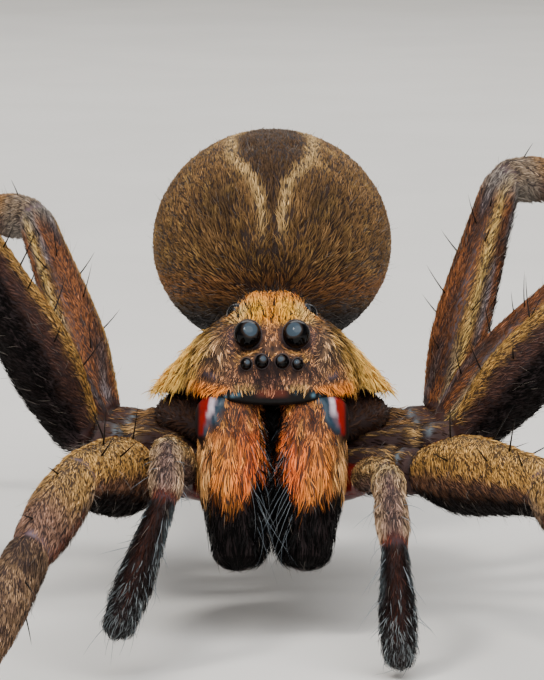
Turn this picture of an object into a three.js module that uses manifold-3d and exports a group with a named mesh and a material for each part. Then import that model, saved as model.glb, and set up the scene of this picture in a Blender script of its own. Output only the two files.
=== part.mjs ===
// A female wolf spider standing on level ground, in millimetres, as solids out to the tips of her coat.
// Her head faces -Y, +Z is up and +X is her own left. The ground is at z = 0.
// The origin ends up on the ground, under the middle of the whole animal's box.

import * as THREE from 'three';
import { mergeVertices } from 'three/addons/utils/BufferGeometryUtils.js';
import Module from 'manifold-3d';

const wasm = await Module();
wasm.setup();

// ---------------------------------------------------------------- driving dimensions

const HEIGHT_ABOVE_GROUND = { largeEyes: 11.94, sternum: 5.25 };
const GAP = 0.2; // between neighbouring pieces of the body
const EYE_GAP = 0.05; // between an eye and its socket
const DEGREE = Math.PI / 180;

const CARAPACE = {
  front: -0.55,
  length: 12.6,
  headHalfWidth: 3.62,
  thoraxHalfWidth: 5.05,
  headEndsAt: 2.6,
  thoraxStartsAt: 7.6,
  bluntness: 0.42,
  crownHeight: 3.45,
  thoraxHeight: 3.9,
  lipDepth: 0.75,
  marginAtFace: 9.6,
  marginAtThorax: 8.6,
  headRoundness: 2.05, // exponent of the cross-section's outline, 2 for an ellipse
  thoraxRoundness: 1.18,
};

// The raised part of the head that carries the four rear eyes, above the cheeks.
const CROWN = { rise: 0.42, fullTo: 1.2, endsAt: 1.9, front: 0.3, fullFrom: 1.5, fullUntil: 3.2, back: 6.5 };

const ABDOMEN = {
  centre: [0, 19.7, 12.95],
  halfLength: 7.7,
  halfWidth: 5.45,
  halfHeight: 5.1,
  tilt: 5, // degrees, tail end down
  taper: 0.12, // share by which the front half is narrower and the rear half is wider
  bluntness: 0.04,
  rise: { above: 1.04, below: 0.96 }, // share of the half height
};

// The plate between the legs, broadest near the front.
const STERNUM = { middle: 5.4, halfLength: 4.5, halfWidth: 2.75, halfHeight: 1.05, narrowing: 0.28 };
const PEDICEL = { joints: [[0, 10.6, 8.1], [0, 13.2, 10.2]], halfHeights: [0.85, 0.8, 0.85] };

// Two pairs of spinnerets on a low mound. x, rise and reach are counted from its middle.
const SPINNERETS = {
  mound: [0, 26.6, 10.9],
  moundRadius: 0.95,
  pairs: [{ x: 0.5, rise: -0.45, reach: 1.25 }, { x: 0.55, rise: 0.4, reach: 1.5 }],
  halfHeights: [0.42, 0.4, 0.28],
  spread: { root: 0.8, end: 1.15 }, // shares of x
  droop: 0.2,
};

// rise is the height from the middle of the large eyes, and sunk the share of the radius behind the face.
const FRONT_EYES = {
  posterior_median: { x: 0.93, rise: 0, radius: 0.525, sunk: 0.08 },
  anterior_median: { x: 0.4, rise: -0.91, radius: 0.26, sunk: 0.1 },
  anterior_lateral: { x: 0.98, rise: -1.03, radius: 0.22, sunk: 0.1 },
};
const REAR_EYE = { x: 1.5, y: 3.15, z: 12.45, radius: 0.4 };
const SMALL_EYE_RADIUS = 0.3; // an eye up to this size is made of fewer facets

// The basal part of a chelicera, from its hinge under the face to its end.
const CHELICERA = { hinge: [1.65, 0.95, 8.8], tip: [1.34, -1.05, 3.5], halfWidth: 1.55, halfDepth: 1.72 };
const CHELICERA_FULLNESS = [0.9, 1, 0.72];

// The left ones. A fang folds in under its chelicera, from the outer corner towards the middle and
// back. An endite is a palp's first segment with the blade that reaches down beside the mouth.
const FANG = {
  joints: [[1.75, -0.6, 3.2], [1.2, 0, 2.85], [0.55, 0.6, 2.95]],
  halfHeights: [[0.48, 0.44, 0.38], [0.38, 0.34, 0.26]],
};
const ENDITE = {
  joints: [[3.35, 0.85, 6.05], [2.2, 1.75, 5.8], [1.15, 1.4, 3.9]],
  halfHeights: [[0.7, 0.85, 0.85], [0.85, 0.8, 0.6]],
};
const LABIUM = { joints: [[0, 2.0, 5.6], [0, 1.65, 4.4]], halfHeights: [0.5, 0.55, 0.42] };

const SEGMENT_LENGTHS = {
  leg_1: { femur: 9.4, patella: 4.7, tibia: 7.2, metatarsus: 7.4, tarsus: 3.9 },
  leg_2: { femur: 9.5, patella: 4.5, tibia: 6.4, metatarsus: 7.0, tarsus: 3.7 },
  leg_3: { femur: 8.1, patella: 3.9, tibia: 5.3, metatarsus: 7.2, tarsus: 3.8 },
  leg_4: { femur: 10.5, patella: 4.6, tibia: 8.3, metatarsus: 11.2, tarsus: 4.8 },
};

// Half heights of the segments with their coat, at the near end, the fullest place and the far end.
const SEGMENT_HALF_HEIGHTS = {
  coxa: [1.0, 1.15, 1.05],
  femur: [1.15, 1.65, 1.2],
  patella: [1.15, 1.32, 1.1],
  tibia: [1.08, 1.2, 0.92],
  metatarsus: [0.82, 0.76, 0.58],
  tarsus: [0.56, 0.56, 0.4],
};
const LEG_THICKNESS = { leg_1: 1, leg_2: 0.94, leg_3: 0.82, leg_4: 0.82 };
const SOLE_HEIGHT = 0.7; // middle of a tarsus tip above the ground, as a share of its half height

// Each leg: where its coxa leaves the body, its hip, and the way its segments point. A heading is
// counted from straight ahead towards the leg's own side, and a pitch from the level, up positive.
const LEG_POSES = {
  leg_1_left: {
    body: [2.8, 1.95, 6.3],
    hip: [6.0, 0.8, 6.4],
    headings: { femur: 27, patella: 24, tibia: 26, metatarsus: 27, tarsus: 27 },
    pitches: { femur: 6, patella: -22, tibia: -34, metatarsus: -11 },
  },
  leg_1_right: {
    body: [2.65, 1.85, 6.3],
    hip: [5.1, 0.6, 6.15],
    headings: { femur: 13.5, patella: 19, tibia: 24, metatarsus: 25, tarsus: 25 },
    pitches: { femur: 10.5, patella: -22, tibia: -35, metatarsus: -12 },
  },
  leg_2_left: {
    body: [3.1, 4.0, 6.5],
    hip: [7.7, 2.85, 7.3],
    headings: { femur: 74, patella: 64, tibia: 62, metatarsus: 60, tarsus: 58 },
    pitches: { femur: 48, patella: -8, tibia: -55, metatarsus: -64 },
  },
  leg_2_right: {
    body: [3.1, 4.0, 6.5],
    hip: [7.6, 2.8, 7.3],
    headings: { femur: 71, patella: 66, tibia: 65, metatarsus: 63, tarsus: 60 },
    pitches: { femur: 62, patella: -8, tibia: -60, metatarsus: -69 },
  },
  leg_3_left: {
    body: [3.1, 6.3, 6.5],
    hip: [7.0, 5.7, 7.1],
    headings: { femur: 108, patella: 104, tibia: 102, metatarsus: 100, tarsus: 98 },
    pitches: { femur: 46, patella: -14, tibia: -46, metatarsus: -58 },
  },
  leg_3_right: {
    body: [3.1, 6.3, 6.5],
    hip: [7.0, 5.7, 7.1],
    headings: { femur: 110, patella: 106, tibia: 103, metatarsus: 101, tarsus: 99 },
    pitches: { femur: 45, patella: -14, tibia: -45, metatarsus: -58 },
  },
  leg_4_left: {
    body: [2.6, 8.5, 6.6],
    hip: [6.9, 9.0, 6.95],
    headings: { femur: 130, patella: 142, tibia: 150, metatarsus: 153, tarsus: 154 },
    pitches: { femur: 70, patella: -6, tibia: -46, metatarsus: -54 },
  },
  leg_4_right: {
    body: [2.6, 8.5, 6.6],
    hip: [6.85, 8.9, 6.9],
    headings: { femur: 152, patella: 150, tibia: 151, metatarsus: 152, tarsus: 152 },
    pitches: { femur: 48, patella: -4, tibia: -38, metatarsus: -50 },
  },
};

// The joints of each palp. The knee lies between femur and patella, the bend between patella and
// tibia, and the wrist between tibia and tarsus.
const PALP_JOINTS = {
  left: {
    hip: [3.5, 0.75, 6.1],
    knee: [4.4, -3.3, 7.15],
    bend: [4.48, -5.0, 6.55],
    wrist: [4.6, -6.9, 5.25],
    tip: [4.8, -7.3, 0.95],
  },
  right: {
    hip: [3.35, 0.75, 6.2],
    knee: [4.0, -3.2, 8.1],
    bend: [4.0, -5.0, 7.85],
    wrist: [4.0, -6.9, 6.95],
    tip: [5.75, -7.3, 2.1],
  },
};
const PALP_HALF_HEIGHTS = {
  femur: [0.62, 0.78, 0.66],
  patella: [0.68, 0.76, 0.72],
  tibia: [0.72, 0.76, 0.74],
  tarsus: [0.6, 0.8, 0.68],
};

// ---------------------------------------------------------------- finishes

const finish = (color, roughness) => new THREE.MeshStandardMaterial({ color, roughness, metalness: 0 });
const FINISHES = {
  headCoat: () => finish(0x8a5a2c, 0.75),
  abdomenCoat: () => finish(0x7a5f42, 0.8),
  undersideCoat: () => finish(0x1d1815, 0.75),
  cheliceraCoat: () => finish(0xa85a2e, 0.7),
  legCoat: () => finish(0x7d6341, 0.75),
  footCoat: () => finish(0x5b4f45, 0.75),
  shell: () => finish(0x3a0f0a, 0.3),
  eyeGlass: () => finish(0x050506, 0.05),
  fangHorn: () => finish(0x160806, 0.2),
  membrane: () => finish(0x8d7f86, 0.5),
};

// ---------------------------------------------------------------- solids

const point = ([x, y, z]) => new THREE.Vector3(x, y, z);
const mirrored = ([x, y, z], side) => new THREE.Vector3(x * side, y, z);
const SIDES = { left: 1, right: -1 };

// Joins the vertices of a closed geometry and drops the slivers left at its poles.
function weld(geometry) {
  geometry.deleteAttribute('normal');
  geometry.deleteAttribute('uv');
  const welded = mergeVertices(geometry, 1e-4);
  const corners = welded.index.array;
  const kept = [];
  for (let i = 0; i < corners.length; i += 3) {
    const [a, b, c] = [corners[i], corners[i + 1], corners[i + 2]];
    if (a !== b && b !== c && c !== a) kept.push(a, b, c);
  }
  welded.setIndex(kept);
  return welded;
}

function solidOf(geometry) {
  return new wasm.Manifold(new wasm.Mesh({
    numProp: 3,
    vertProperties: new Float32Array(geometry.attributes.position.array),
    triVerts: new Uint32Array(geometry.index.array),
  }));
}

// The same welded geometry with its surface moved outwards.
function grown(geometry, distance) {
  const swollen = geometry.clone();
  swollen.computeVertexNormals();
  const { position, normal } = swollen.attributes;
  for (let i = 0; i < position.count; i += 1) {
    position.setXYZ(
      i,
      position.getX(i) + normal.getX(i) * distance,
      position.getY(i) + normal.getY(i) * distance,
      position.getZ(i) + normal.getZ(i) * distance,
    );
  }
  return swollen;
}

const joined = (solids) => solids.reduce((whole, piece) => whole.add(piece));

function largestPiece(solid) {
  const pieces = solid.decompose();
  return pieces.reduce((best, piece) => (piece.volume() > best.volume() ? piece : best));
}

// How full a segment is at a share of its length, from its near, greatest and far half height.
function fullness([near, full, far], share, fullestAt) {
  const toFull = THREE.MathUtils.smoothstep(share, 0, fullestAt);
  const toFar = THREE.MathUtils.smoothstep(share, fullestAt, 1);
  return near + (full - near) * toFull + (far - full) * toFar;
}

const FEW_RINGS = [0, 0.45, 1];

// A round-ended limb through its joints, a body of revolution that is flattened across, arched
// towards its back and bent at the joints. There is one list of radii for each pair of joints.
function limb(joints, radiiOfSegments, options = {}) {
  const { flatness = 0.88, arch = 0, sides = 8, capLength = 0.75, fullestAt = 0.45, back } = options;
  const ringSpots = options.ringSpots ?? [0, 0.3, 0.7, 1];
  const up = back ?? new THREE.Vector3(0, 0, 1); // the side that the limb's back faces
  const directions = joints.slice(1).map((joint, i) => joint.clone().sub(joints[i]).normalize());
  const rings = [];
  radiiOfSegments.forEach((radii, i) => {
    for (const share of ringSpots.slice(i > 0 ? 1 : 0)) {
      const bendsHere = share === 1 && i + 1 < directions.length;
      const along = bendsHere ? directions[i].clone().add(directions[i + 1]).normalize() : directions[i];
      rings.push({
        centre: joints[i].clone().lerp(joints[i + 1], share),
        along,
        lift: arch * 4 * share * (1 - share),
        radius: fullness(radii, share, fullestAt),
      });
    }
  });
  const [first, last] = [rings[0], rings.at(-1)];
  const capRing = (ring, turn) => ({
    ...ring,
    centre: ring.centre.clone().addScaledVector(ring.along, turn * ring.radius * capLength * Math.SQRT1_2),
    radius: ring.radius * Math.SQRT1_2,
  });
  const pole = (ring, turn) => ({
    ...ring,
    centre: ring.centre.clone().addScaledVector(ring.along, turn * ring.radius * capLength),
    radius: 0,
  });
  const course = [pole(first, -1), capRing(first, -1), ...rings, capRing(last, 1), pole(last, 1)];
  const profile = course.map((ring, i) => new THREE.Vector2(ring.radius, i));
  const body = new THREE.LatheGeometry(profile, sides);
  const { position } = body.attributes;
  for (let i = 0; i < position.count; i += 1) {
    const { centre, along, lift } = course[Math.round(position.getY(i))];
    const upright = up.clone().addScaledVector(along, -up.dot(along)).normalize();
    const across = along.clone().cross(upright);
    const spot = centre.clone()
      .addScaledVector(across, position.getX(i) * flatness)
      .addScaledVector(upright, position.getZ(i) + lift);
    position.setXYZ(i, spot.x, spot.y, spot.z);
  }
  return weld(body);
}

// A sphere whose points are moved by a rule. Its poles lie on the Y axis, the front one at -Y.
function shapedSphere(sides, rings, rule) {
  const ball = new THREE.SphereGeometry(1, sides, rings);
  ball.rotateX(Math.PI / 2);
  const { position } = ball.attributes;
  for (let i = 0; i < position.count; i += 1) {
    const spot = rule(new THREE.Vector3().fromBufferAttribute(position, i));
    position.setXYZ(i, spot.x, spot.y, spot.z);
  }
  return weld(ball);
}

function ball(centre, radius, sides, rings) {
  return shapedSphere(sides, rings, (unit) => unit.multiplyScalar(radius).add(centre));
}

// ---------------------------------------------------------------- carapace and eyes

// Half width, height, lip and margin level of the carapace at a distance along the body.
function carapaceSection(y) {
  const share = THREE.MathUtils.clamp((y - CARAPACE.front) / CARAPACE.length, 0, 1);
  const flare = THREE.MathUtils.smoothstep(y, CARAPACE.headEndsAt, CARAPACE.thoraxStartsAt);
  const closing = Math.pow(2 * Math.sqrt(share * (1 - share)), CARAPACE.bluntness);
  return {
    halfWidth: closing * THREE.MathUtils.lerp(CARAPACE.headHalfWidth, CARAPACE.thoraxHalfWidth, flare),
    height: closing * THREE.MathUtils.lerp(CARAPACE.crownHeight, CARAPACE.thoraxHeight, flare),
    lip: closing * CARAPACE.lipDepth,
    margin: THREE.MathUtils.lerp(CARAPACE.marginAtFace, CARAPACE.marginAtThorax, flare),
    roundness: THREE.MathUtils.lerp(CARAPACE.headRoundness, CARAPACE.thoraxRoundness, flare),
  };
}

function crownRise(x, y) {
  const { smoothstep } = THREE.MathUtils;
  const across = 1 - smoothstep(Math.abs(x), CROWN.fullTo, CROWN.endsAt);
  const along = smoothstep(y, CROWN.front, CROWN.fullFrom) * (1 - smoothstep(y, CROWN.fullUntil, CROWN.back));
  return CROWN.rise * across * along;
}

function carapacePoint(unit) {
  const y = CARAPACE.front + (CARAPACE.length * (1 + unit.y)) / 2;
  const { halfWidth, height, lip, margin, roundness } = carapaceSection(y);
  const ring = Math.hypot(unit.x, unit.z) || 1;
  const [side, rise] = [unit.x / ring, unit.z / ring];
  const power = rise > 0 ? roundness : 2;
  const reach = Math.pow(Math.abs(side) ** power + Math.abs(rise) ** power, -1 / power);
  const x = halfWidth * side * reach;
  const lift = rise > 0 ? crownRise(x, y) : 0;
  return new THREE.Vector3(x, y, margin + rise * reach * (rise > 0 ? height : lip) + lift);
}

// The y of the face's surface in front of a given place.
function faceAt(x, z) {
  let [outside, inside] = [CARAPACE.front, CARAPACE.thoraxStartsAt];
  for (let i = 0; i < 30; i += 1) {
    const y = (outside + inside) / 2;
    const { halfWidth, height, margin, roundness } = carapaceSection(y);
    const rise = Math.max(0, z - margin - crownRise(x, y)) / height;
    if ((Math.abs(x) / halfWidth) ** roundness + rise ** roundness < 1) inside = y;
    else outside = y;
  }
  return inside;
}

function eyeBalls() {
  const eyes = [];
  for (const [sideName, side] of Object.entries(SIDES)) {
    for (const [eyeName, eye] of Object.entries(FRONT_EYES)) {
      const z = HEIGHT_ABOVE_GROUND.largeEyes + eye.rise;
      const y = faceAt(eye.x, z) + eye.radius * eye.sunk;
      const centre = new THREE.Vector3(eye.x * side, y, z);
      eyes.push({ name: `eye_${eyeName}_${sideName}`, centre, radius: eye.radius });
    }
    const centre = new THREE.Vector3(REAR_EYE.x * side, REAR_EYE.y, REAR_EYE.z);
    eyes.push({ name: `eye_posterior_lateral_${sideName}`, centre, radius: REAR_EYE.radius });
  }
  return eyes;
}

// ---------------------------------------------------------------- abdomen and underside

function abdomenPoint(unit) {
  const { halfLength, halfWidth, halfHeight, taper, bluntness, rise } = ABDOMEN;
  const closing = Math.pow(Math.max(0, 1 - unit.y * unit.y), bluntness);
  const spot = new THREE.Vector3(
    unit.x * halfWidth * closing * (1 + taper * unit.y),
    unit.y * halfLength,
    unit.z * halfHeight * closing * (unit.z > 0 ? rise.above : rise.below),
  );
  spot.applyAxisAngle(new THREE.Vector3(1, 0, 0), -ABDOMEN.tilt * DEGREE);
  return spot.add(point(ABDOMEN.centre));
}

function sternumPoint(unit) {
  const { middle, halfLength, halfWidth, halfHeight, narrowing } = STERNUM;
  return new THREE.Vector3(
    unit.x * halfWidth * (1 - narrowing * unit.y),
    middle + unit.y * halfLength,
    HEIGHT_ABOVE_GROUND.sternum + (1 + unit.z) * halfHeight,
  );
}

// ---------------------------------------------------------------- limbs

function stepAlong(start, length, heading, pitch, side) {
  const level = Math.cos(pitch * DEGREE) * length;
  return start.clone().add(new THREE.Vector3(
    side * Math.sin(heading * DEGREE) * level,
    -Math.cos(heading * DEGREE) * level,
    Math.sin(pitch * DEGREE) * length,
  ));
}

function legJoints(pair, sideName) {
  const side = SIDES[sideName];
  const pose = LEG_POSES[`${pair}_${sideName}`];
  const lengths = SEGMENT_LENGTHS[pair];
  const joints = { body: mirrored(pose.body, side), hip: mirrored(pose.hip, side) };
  let last = joints.hip;
  for (const name of ['femur', 'patella', 'tibia', 'metatarsus']) {
    last = stepAlong(last, lengths[name], pose.headings[name], pose.pitches[name], side);
    joints[name] = last;
  }
  const tipHalfHeight = SEGMENT_HALF_HEIGHTS.tarsus.at(-1) * LEG_THICKNESS[pair];
  const drop = Math.asin((SOLE_HEIGHT * tipHalfHeight - last.z) / lengths.tarsus) / DEGREE;
  joints.tarsus = stepAlong(last, lengths.tarsus, pose.headings.tarsus, drop, side);
  return joints;
}

function legPieces(pair, sideName) {
  const { body, hip, femur, patella, tibia, metatarsus, tarsus } = legJoints(pair, sideName);
  const radii = (name) => SEGMENT_HALF_HEIGHTS[name].map((radius) => radius * LEG_THICKNESS[pair]);
  return {
    coxa: limb([body, hip], [radii('coxa')], {
      flatness: 0.95,
      sides: 7,
      capLength: 0.6,
      ringSpots: FEW_RINGS,
    }),
    femur: limb([hip, femur], [radii('femur')], { arch: 0.15, fullestAt: 0.36 }),
    tibia: limb([femur, patella, tibia], [radii('patella'), radii('tibia')], {
      arch: 0.05,
      flatness: 0.82,
      ringSpots: FEW_RINGS,
    }),
    foot: limb([tibia, metatarsus, tarsus], [radii('metatarsus'), radii('tarsus')], {
      flatness: 0.95,
      sides: 7,
      ringSpots: FEW_RINGS,
    }),
  };
}

function palpPieces(sideName) {
  const at = (name) => mirrored(PALP_JOINTS[sideName][name], SIDES[sideName]);
  const { femur, patella, tibia, tarsus } = PALP_HALF_HEIGHTS;
  const forward = new THREE.Vector3(0, -1, 0);
  return {
    femur: limb([at('hip'), at('knee')], [femur], { arch: 0.1 }),
    tibia: limb([at('knee'), at('bend'), at('wrist')], [patella, tibia], {
      flatness: 1,
      ringSpots: FEW_RINGS,
    }),
    tarsus: limb([at('wrist'), at('tip')], [tarsus], { fullestAt: 0.75, flatness: 1, back: forward }),
  };
}

function chelicera(side) {
  const { hinge, tip, halfWidth, halfDepth } = CHELICERA;
  const halfHeights = CHELICERA_FULLNESS.map((share) => share * halfDepth);
  return limb([mirrored(hinge, side), mirrored(tip, side)], [halfHeights], {
    back: new THREE.Vector3(0, -1, 0),
    flatness: halfWidth / halfDepth,
    arch: 0.25,
    sides: 12,
    capLength: 0.5,
    ringSpots: [0, 0.25, 0.5, 0.75, 1],
  });
}

function fang(side) {
  const joints = FANG.joints.map((joint) => mirrored(joint, side));
  return limb(joints, FANG.halfHeights, { sides: 7, flatness: 1, ringSpots: FEW_RINGS });
}

function endite(side) {
  const joints = ENDITE.joints.map((joint) => mirrored(joint, side));
  const back = new THREE.Vector3(0, 1, 0);
  return limb(joints, ENDITE.halfHeights, { flatness: 0.9, back, ringSpots: FEW_RINGS });
}

function spinnerets() {
  const { mound, moundRadius, pairs, halfHeights, spread, droop } = SPINNERETS;
  const [, y, z] = mound;
  const cones = [];
  for (const side of Object.values(SIDES)) {
    for (const { x, rise, reach } of pairs) {
      const root = new THREE.Vector3(x * side * spread.root, y, z + rise);
      const end = new THREE.Vector3(x * side * spread.end, y + reach, z + rise - droop);
      cones.push(limb([root, end], [halfHeights], { flatness: 1, sides: 6, ringSpots: FEW_RINGS }));
    }
  }
  return [ball(point(mound), moundRadius, 8, 4), ...cones];
}

// ---------------------------------------------------------------- assembly

// Pieces in the order in which they keep their shape: a later one is cut back from all earlier ones.
function bodyPlan() {
  const plan = [];
  const add = (name, geometries, material, gap = GAP) => plan.push({ name, geometries, material, gap });
  for (const { name, centre, radius } of eyeBalls()) {
    const [sides, rings] = radius > SMALL_EYE_RADIUS ? [12, 6] : [8, 5];
    add(name, [ball(centre, radius, sides, rings)], FINISHES.eyeGlass(), EYE_GAP);
  }
  add('carapace', [shapedSphere(22, 12, carapacePoint)], FINISHES.headCoat());
  add('abdomen', [shapedSphere(18, 11, abdomenPoint)], FINISHES.abdomenCoat());
  add('sternum', [shapedSphere(14, 8, sternumPoint)], FINISHES.undersideCoat());
  add('pedicel', [limb(PEDICEL.joints.map(point), [PEDICEL.halfHeights])], FINISHES.membrane());
  add('spinnerets', spinnerets(), FINISHES.footCoat());
  for (const [name, side] of Object.entries(SIDES)) {
    add(`chelicera_${name}`, [chelicera(side)], FINISHES.cheliceraCoat());
    add(`fang_${name}`, [fang(side)], FINISHES.fangHorn());
  }
  add('labium', [limb(LABIUM.joints.map(point), [LABIUM.halfHeights])], FINISHES.shell());
  for (const [name, side] of Object.entries(SIDES)) add(`endite_${name}`, [endite(side)], FINISHES.shell());
  for (const pair of Object.keys(SEGMENT_LENGTHS)) {
    for (const sideName of Object.keys(SIDES)) {
      for (const [name, geometry] of Object.entries(legPieces(pair, sideName))) {
        const material = name === 'foot' ? FINISHES.footCoat() : FINISHES.legCoat();
        add(`${pair}_${sideName}_${name}`, [geometry], material);
      }
    }
  }
  for (const sideName of Object.keys(SIDES)) {
    for (const [name, geometry] of Object.entries(palpPieces(sideName))) {
      add(`palp_${sideName}_${name}`, [geometry], FINISHES.footCoat());
    }
  }
  return plan;
}

const GROUND_BLOCK = { width: 200, depth: 20 };

function groundSolid() {
  const block = new THREE.BoxGeometry(GROUND_BLOCK.width, GROUND_BLOCK.width, GROUND_BLOCK.depth);
  block.translate(0, 0, -GROUND_BLOCK.depth / 2);
  return solidOf(weld(block));
}

function boxesMeet(a, b) {
  return [0, 1, 2].every((axis) => a.min[axis] < b.max[axis] && b.min[axis] < a.max[axis]);
}

function carvedPieces(plan) {
  const ground = groundSolid();
  const keepClear = [];
  return plan.map(({ name, geometries, material, gap }) => {
    let solid = joined(geometries.map(solidOf));
    for (const other of keepClear) {
      if (boxesMeet(solid.boundingBox(), other.boundingBox())) solid = solid.subtract(other);
    }
    if (solid.boundingBox().min[2] < 0) solid = solid.subtract(ground);
    keepClear.push(joined(geometries.map((geometry) => solidOf(grown(geometry, gap)))));
    return { name, material, solid: largestPiece(solid) };
  });
}

function meshOf({ name, material, solid }) {
  const { vertProperties, triVerts } = solid.getMesh();
  const geometry = new THREE.BufferGeometry();
  geometry.setAttribute('position', new THREE.BufferAttribute(vertProperties, 3));
  geometry.setIndex(new THREE.BufferAttribute(triVerts, 1));
  geometry.computeVertexNormals();
  const mesh = new THREE.Mesh(geometry, material);
  mesh.name = name;
  return mesh;
}

const spider = new THREE.Group();
for (const piece of carvedPieces(bodyPlan())) spider.add(meshOf(piece));

const middle = new THREE.Box3().setFromObject(spider).getCenter(new THREE.Vector3());
spider.position.set(-middle.x, -middle.y, 0);

const wolfSpider = new THREE.Group();
wolfSpider.add(spider);

export default wolfSpider;
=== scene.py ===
"""The looks of a female wolf spider: her skin, her coat of hair, her eyes, fangs, spines and claws.

Sizes are in millimetres in the animal's own frame until a mesh is made: the head faces -Y, +Z is
up, +X is her own left and the ground is at z = 0. place() turns them into the model's metres.
"""

import copy
import math

import bpy
import numpy as np
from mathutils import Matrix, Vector


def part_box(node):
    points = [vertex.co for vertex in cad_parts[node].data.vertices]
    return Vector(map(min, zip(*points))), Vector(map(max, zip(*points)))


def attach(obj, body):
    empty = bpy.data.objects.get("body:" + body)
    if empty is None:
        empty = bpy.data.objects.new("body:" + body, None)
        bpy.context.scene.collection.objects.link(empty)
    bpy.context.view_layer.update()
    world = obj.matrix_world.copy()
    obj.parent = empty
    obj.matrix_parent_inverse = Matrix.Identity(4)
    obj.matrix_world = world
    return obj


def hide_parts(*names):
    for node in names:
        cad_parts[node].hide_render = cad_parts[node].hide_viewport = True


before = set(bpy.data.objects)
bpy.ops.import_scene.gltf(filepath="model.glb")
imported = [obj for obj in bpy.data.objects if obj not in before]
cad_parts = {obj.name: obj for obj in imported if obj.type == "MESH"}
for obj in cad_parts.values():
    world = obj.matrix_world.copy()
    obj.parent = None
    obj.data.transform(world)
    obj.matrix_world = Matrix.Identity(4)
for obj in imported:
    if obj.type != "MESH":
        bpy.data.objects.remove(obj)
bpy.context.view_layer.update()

MM = 0.001
SIDES = {"left": 1, "right": -1}
FRONT_POLE = -0.55  # y of the foremost point of the carapace
GROUND = 0.004  # height of the lowest skin and hair


def box_middle(node):
    low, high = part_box(node)
    return (low + high) / 2 / MM


# From the animal's own frame to the model's: the eyes give the middle plane, the face the rest.
SHIFT = np.array([
    (box_middle("eye_posterior_median_left").x + box_middle("eye_posterior_median_right").x) / 2,
    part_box("carapace")[0].y / MM - FRONT_POLE,
    0.0,
])


def place(points):
    return (np.asarray(points) + SHIFT) * MM


# ---------------------------------------------------------------- small mathematics


def smoothstep(value, low, high):
    share = np.clip((value - low) / (high - low), 0, 1)
    return share * share * (3 - 2 * share)


def fade(value, low, high):
    return 1 - smoothstep(value, low, high)


def bell(value, middle, spread):
    return np.exp(-(((value - middle) / spread) ** 2))


def vectors(x, y, z):
    return np.stack(np.broadcast_arrays(x, y, z), -1)


def unit(arrows):
    return arrows / np.maximum(np.linalg.norm(arrows, axis=-1, keepdims=True), 1e-9)


def dot(a, b):
    return np.sum(a * b, axis=-1, keepdims=True)


def linear(hex_colour):
    """An sRGB colour such as "c08040" as linear red, green and blue."""
    channels = np.array([int(hex_colour[i:i + 2], 16) for i in (0, 2, 4)]) / 255
    return np.where(channels <= 0.04045, channels / 12.92, ((channels + 0.055) / 1.055) ** 2.4)


def paint(colour, *layers):
    """A colour with others laid over it in turn, each as far as its share says."""
    for hex_colour, share in layers:
        colour = colour + (linear(hex_colour) - colour) * np.asarray(share)[..., None]
    return colour


def ripple_and_slope(points, size, seed):
    """A smooth random field from -1 to 1 with features of about that size, and its slope."""
    rng = np.random.default_rng(seed)
    waves = unit(rng.normal(size=(9, 3))) * rng.uniform(0.7, 1.5, (9, 1)) * math.pi / size
    angles = points @ waves.T + rng.uniform(0, 2 * math.pi, 9)
    return np.sin(angles).mean(-1) * 1.7, unit(np.cos(angles) @ waves)


def ripple(points, size, seed):
    return ripple_and_slope(points, size, seed)[0]


# ---------------------------------------------------------------- surfaces


class Surface:
    """A closed skin of rings between two poles, with what the coat needs to know at each point.

    The arrays are rings x columns. lie is the way the hair points, lift its angle off the skin in
    degrees, bare 1 where no hair grows, and follow 0 where it stands clear of the skin's curve.
    """

    def __init__(self, points, poles, **facts):
        self.points = points
        self.poles = poles
        self.__dict__.update(facts)
        around = np.roll(points, -1, 1) - np.roll(points, 1, 1)
        along = np.gradient(points, axis=0)
        normals = unit(np.cross(along, around))
        outward = points - points.mean(1, keepdims=True)
        self.turned = np.sum(normals * outward) < 0
        self.normals = -normals if self.turned else normals
        self.colour = np.zeros(points.shape) + linear("806040")
        self.tip = None
        self.skin = None
        self.all_over(bare=0, gloss=0, length=0.4, width=0.055, lift=20, density=1, clump=0.15,
                      wave=0.04, follow=1)

    def all_over(self, **values):
        """Sets values that are the same at every point."""
        for name, value in values.items():
            setattr(self, name, np.full(self.points.shape[:2], float(value)))

    def finished(self):
        """Fills in what the markings left open: pale tips, and skin in the hair's dark colour."""
        if self.tip is None:
            self.tip = self.colour * 1.2
        dark = self.colour * 0.1 + linear("2c1f20") * 0.5
        if self.skin is None:
            self.skin = dark
        self.skin = dark + (self.skin - dark) * self.bare[..., None]
        self.points[..., 2] = np.maximum(self.points[..., 2], GROUND)
        return self


def variant(surface, **fields):
    """The same surface with other values in some of its fields, for another kind of hair."""
    other = copy.copy(surface)
    other.__dict__.update(fields)
    return other


def set_in(points, depth):
    """The rings moved inwards along their normals."""
    outer = Surface(points, None)
    return points - outer.normals * np.asarray(depth)[..., None]


# ---------------------------------------------------------------- carapace and eyes

CARAPACE = {
    "length": 12.6,
    "half_width": (3.62, 5.05),  # of the head and the thorax
    "flare": (2.6, 7.6),  # where the head ends and the thorax starts
    "bluntness": 0.42,
    "height": (3.45, 3.9),
    "lip": 0.75,
    "margin": (9.6, 8.6),
    "roundness": (2.05, 1.18),
}
CROWN = {"rise": 0.42, "full_to": 0.85, "ends_at": 2.05, "front": (0.3, 1.5), "back": (3.2, 6.5)}
LARGE_EYE_LEVEL = 11.94
FRONT_EYES = {  # sideways, height from the large eyes, radius, share of the radius behind the face
    "posterior_median": (0.96, 0.04, 0.54, 0.08),
    "anterior_median": (0.4, -0.91, 0.27, 0.1),
    "anterior_lateral": (1.01, -1.02, 0.225, 0.1),
}
EYE_TALLNESS = 1.04  # the eyes are a little higher than wide
RIM_DEPTH = 0.15  # how far behind an eye's middle its rim lies, as a share of its radius
REAR_EYE = (1.4, 3.15, 12.37, 0.4)  # x, y, z and radius


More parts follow.
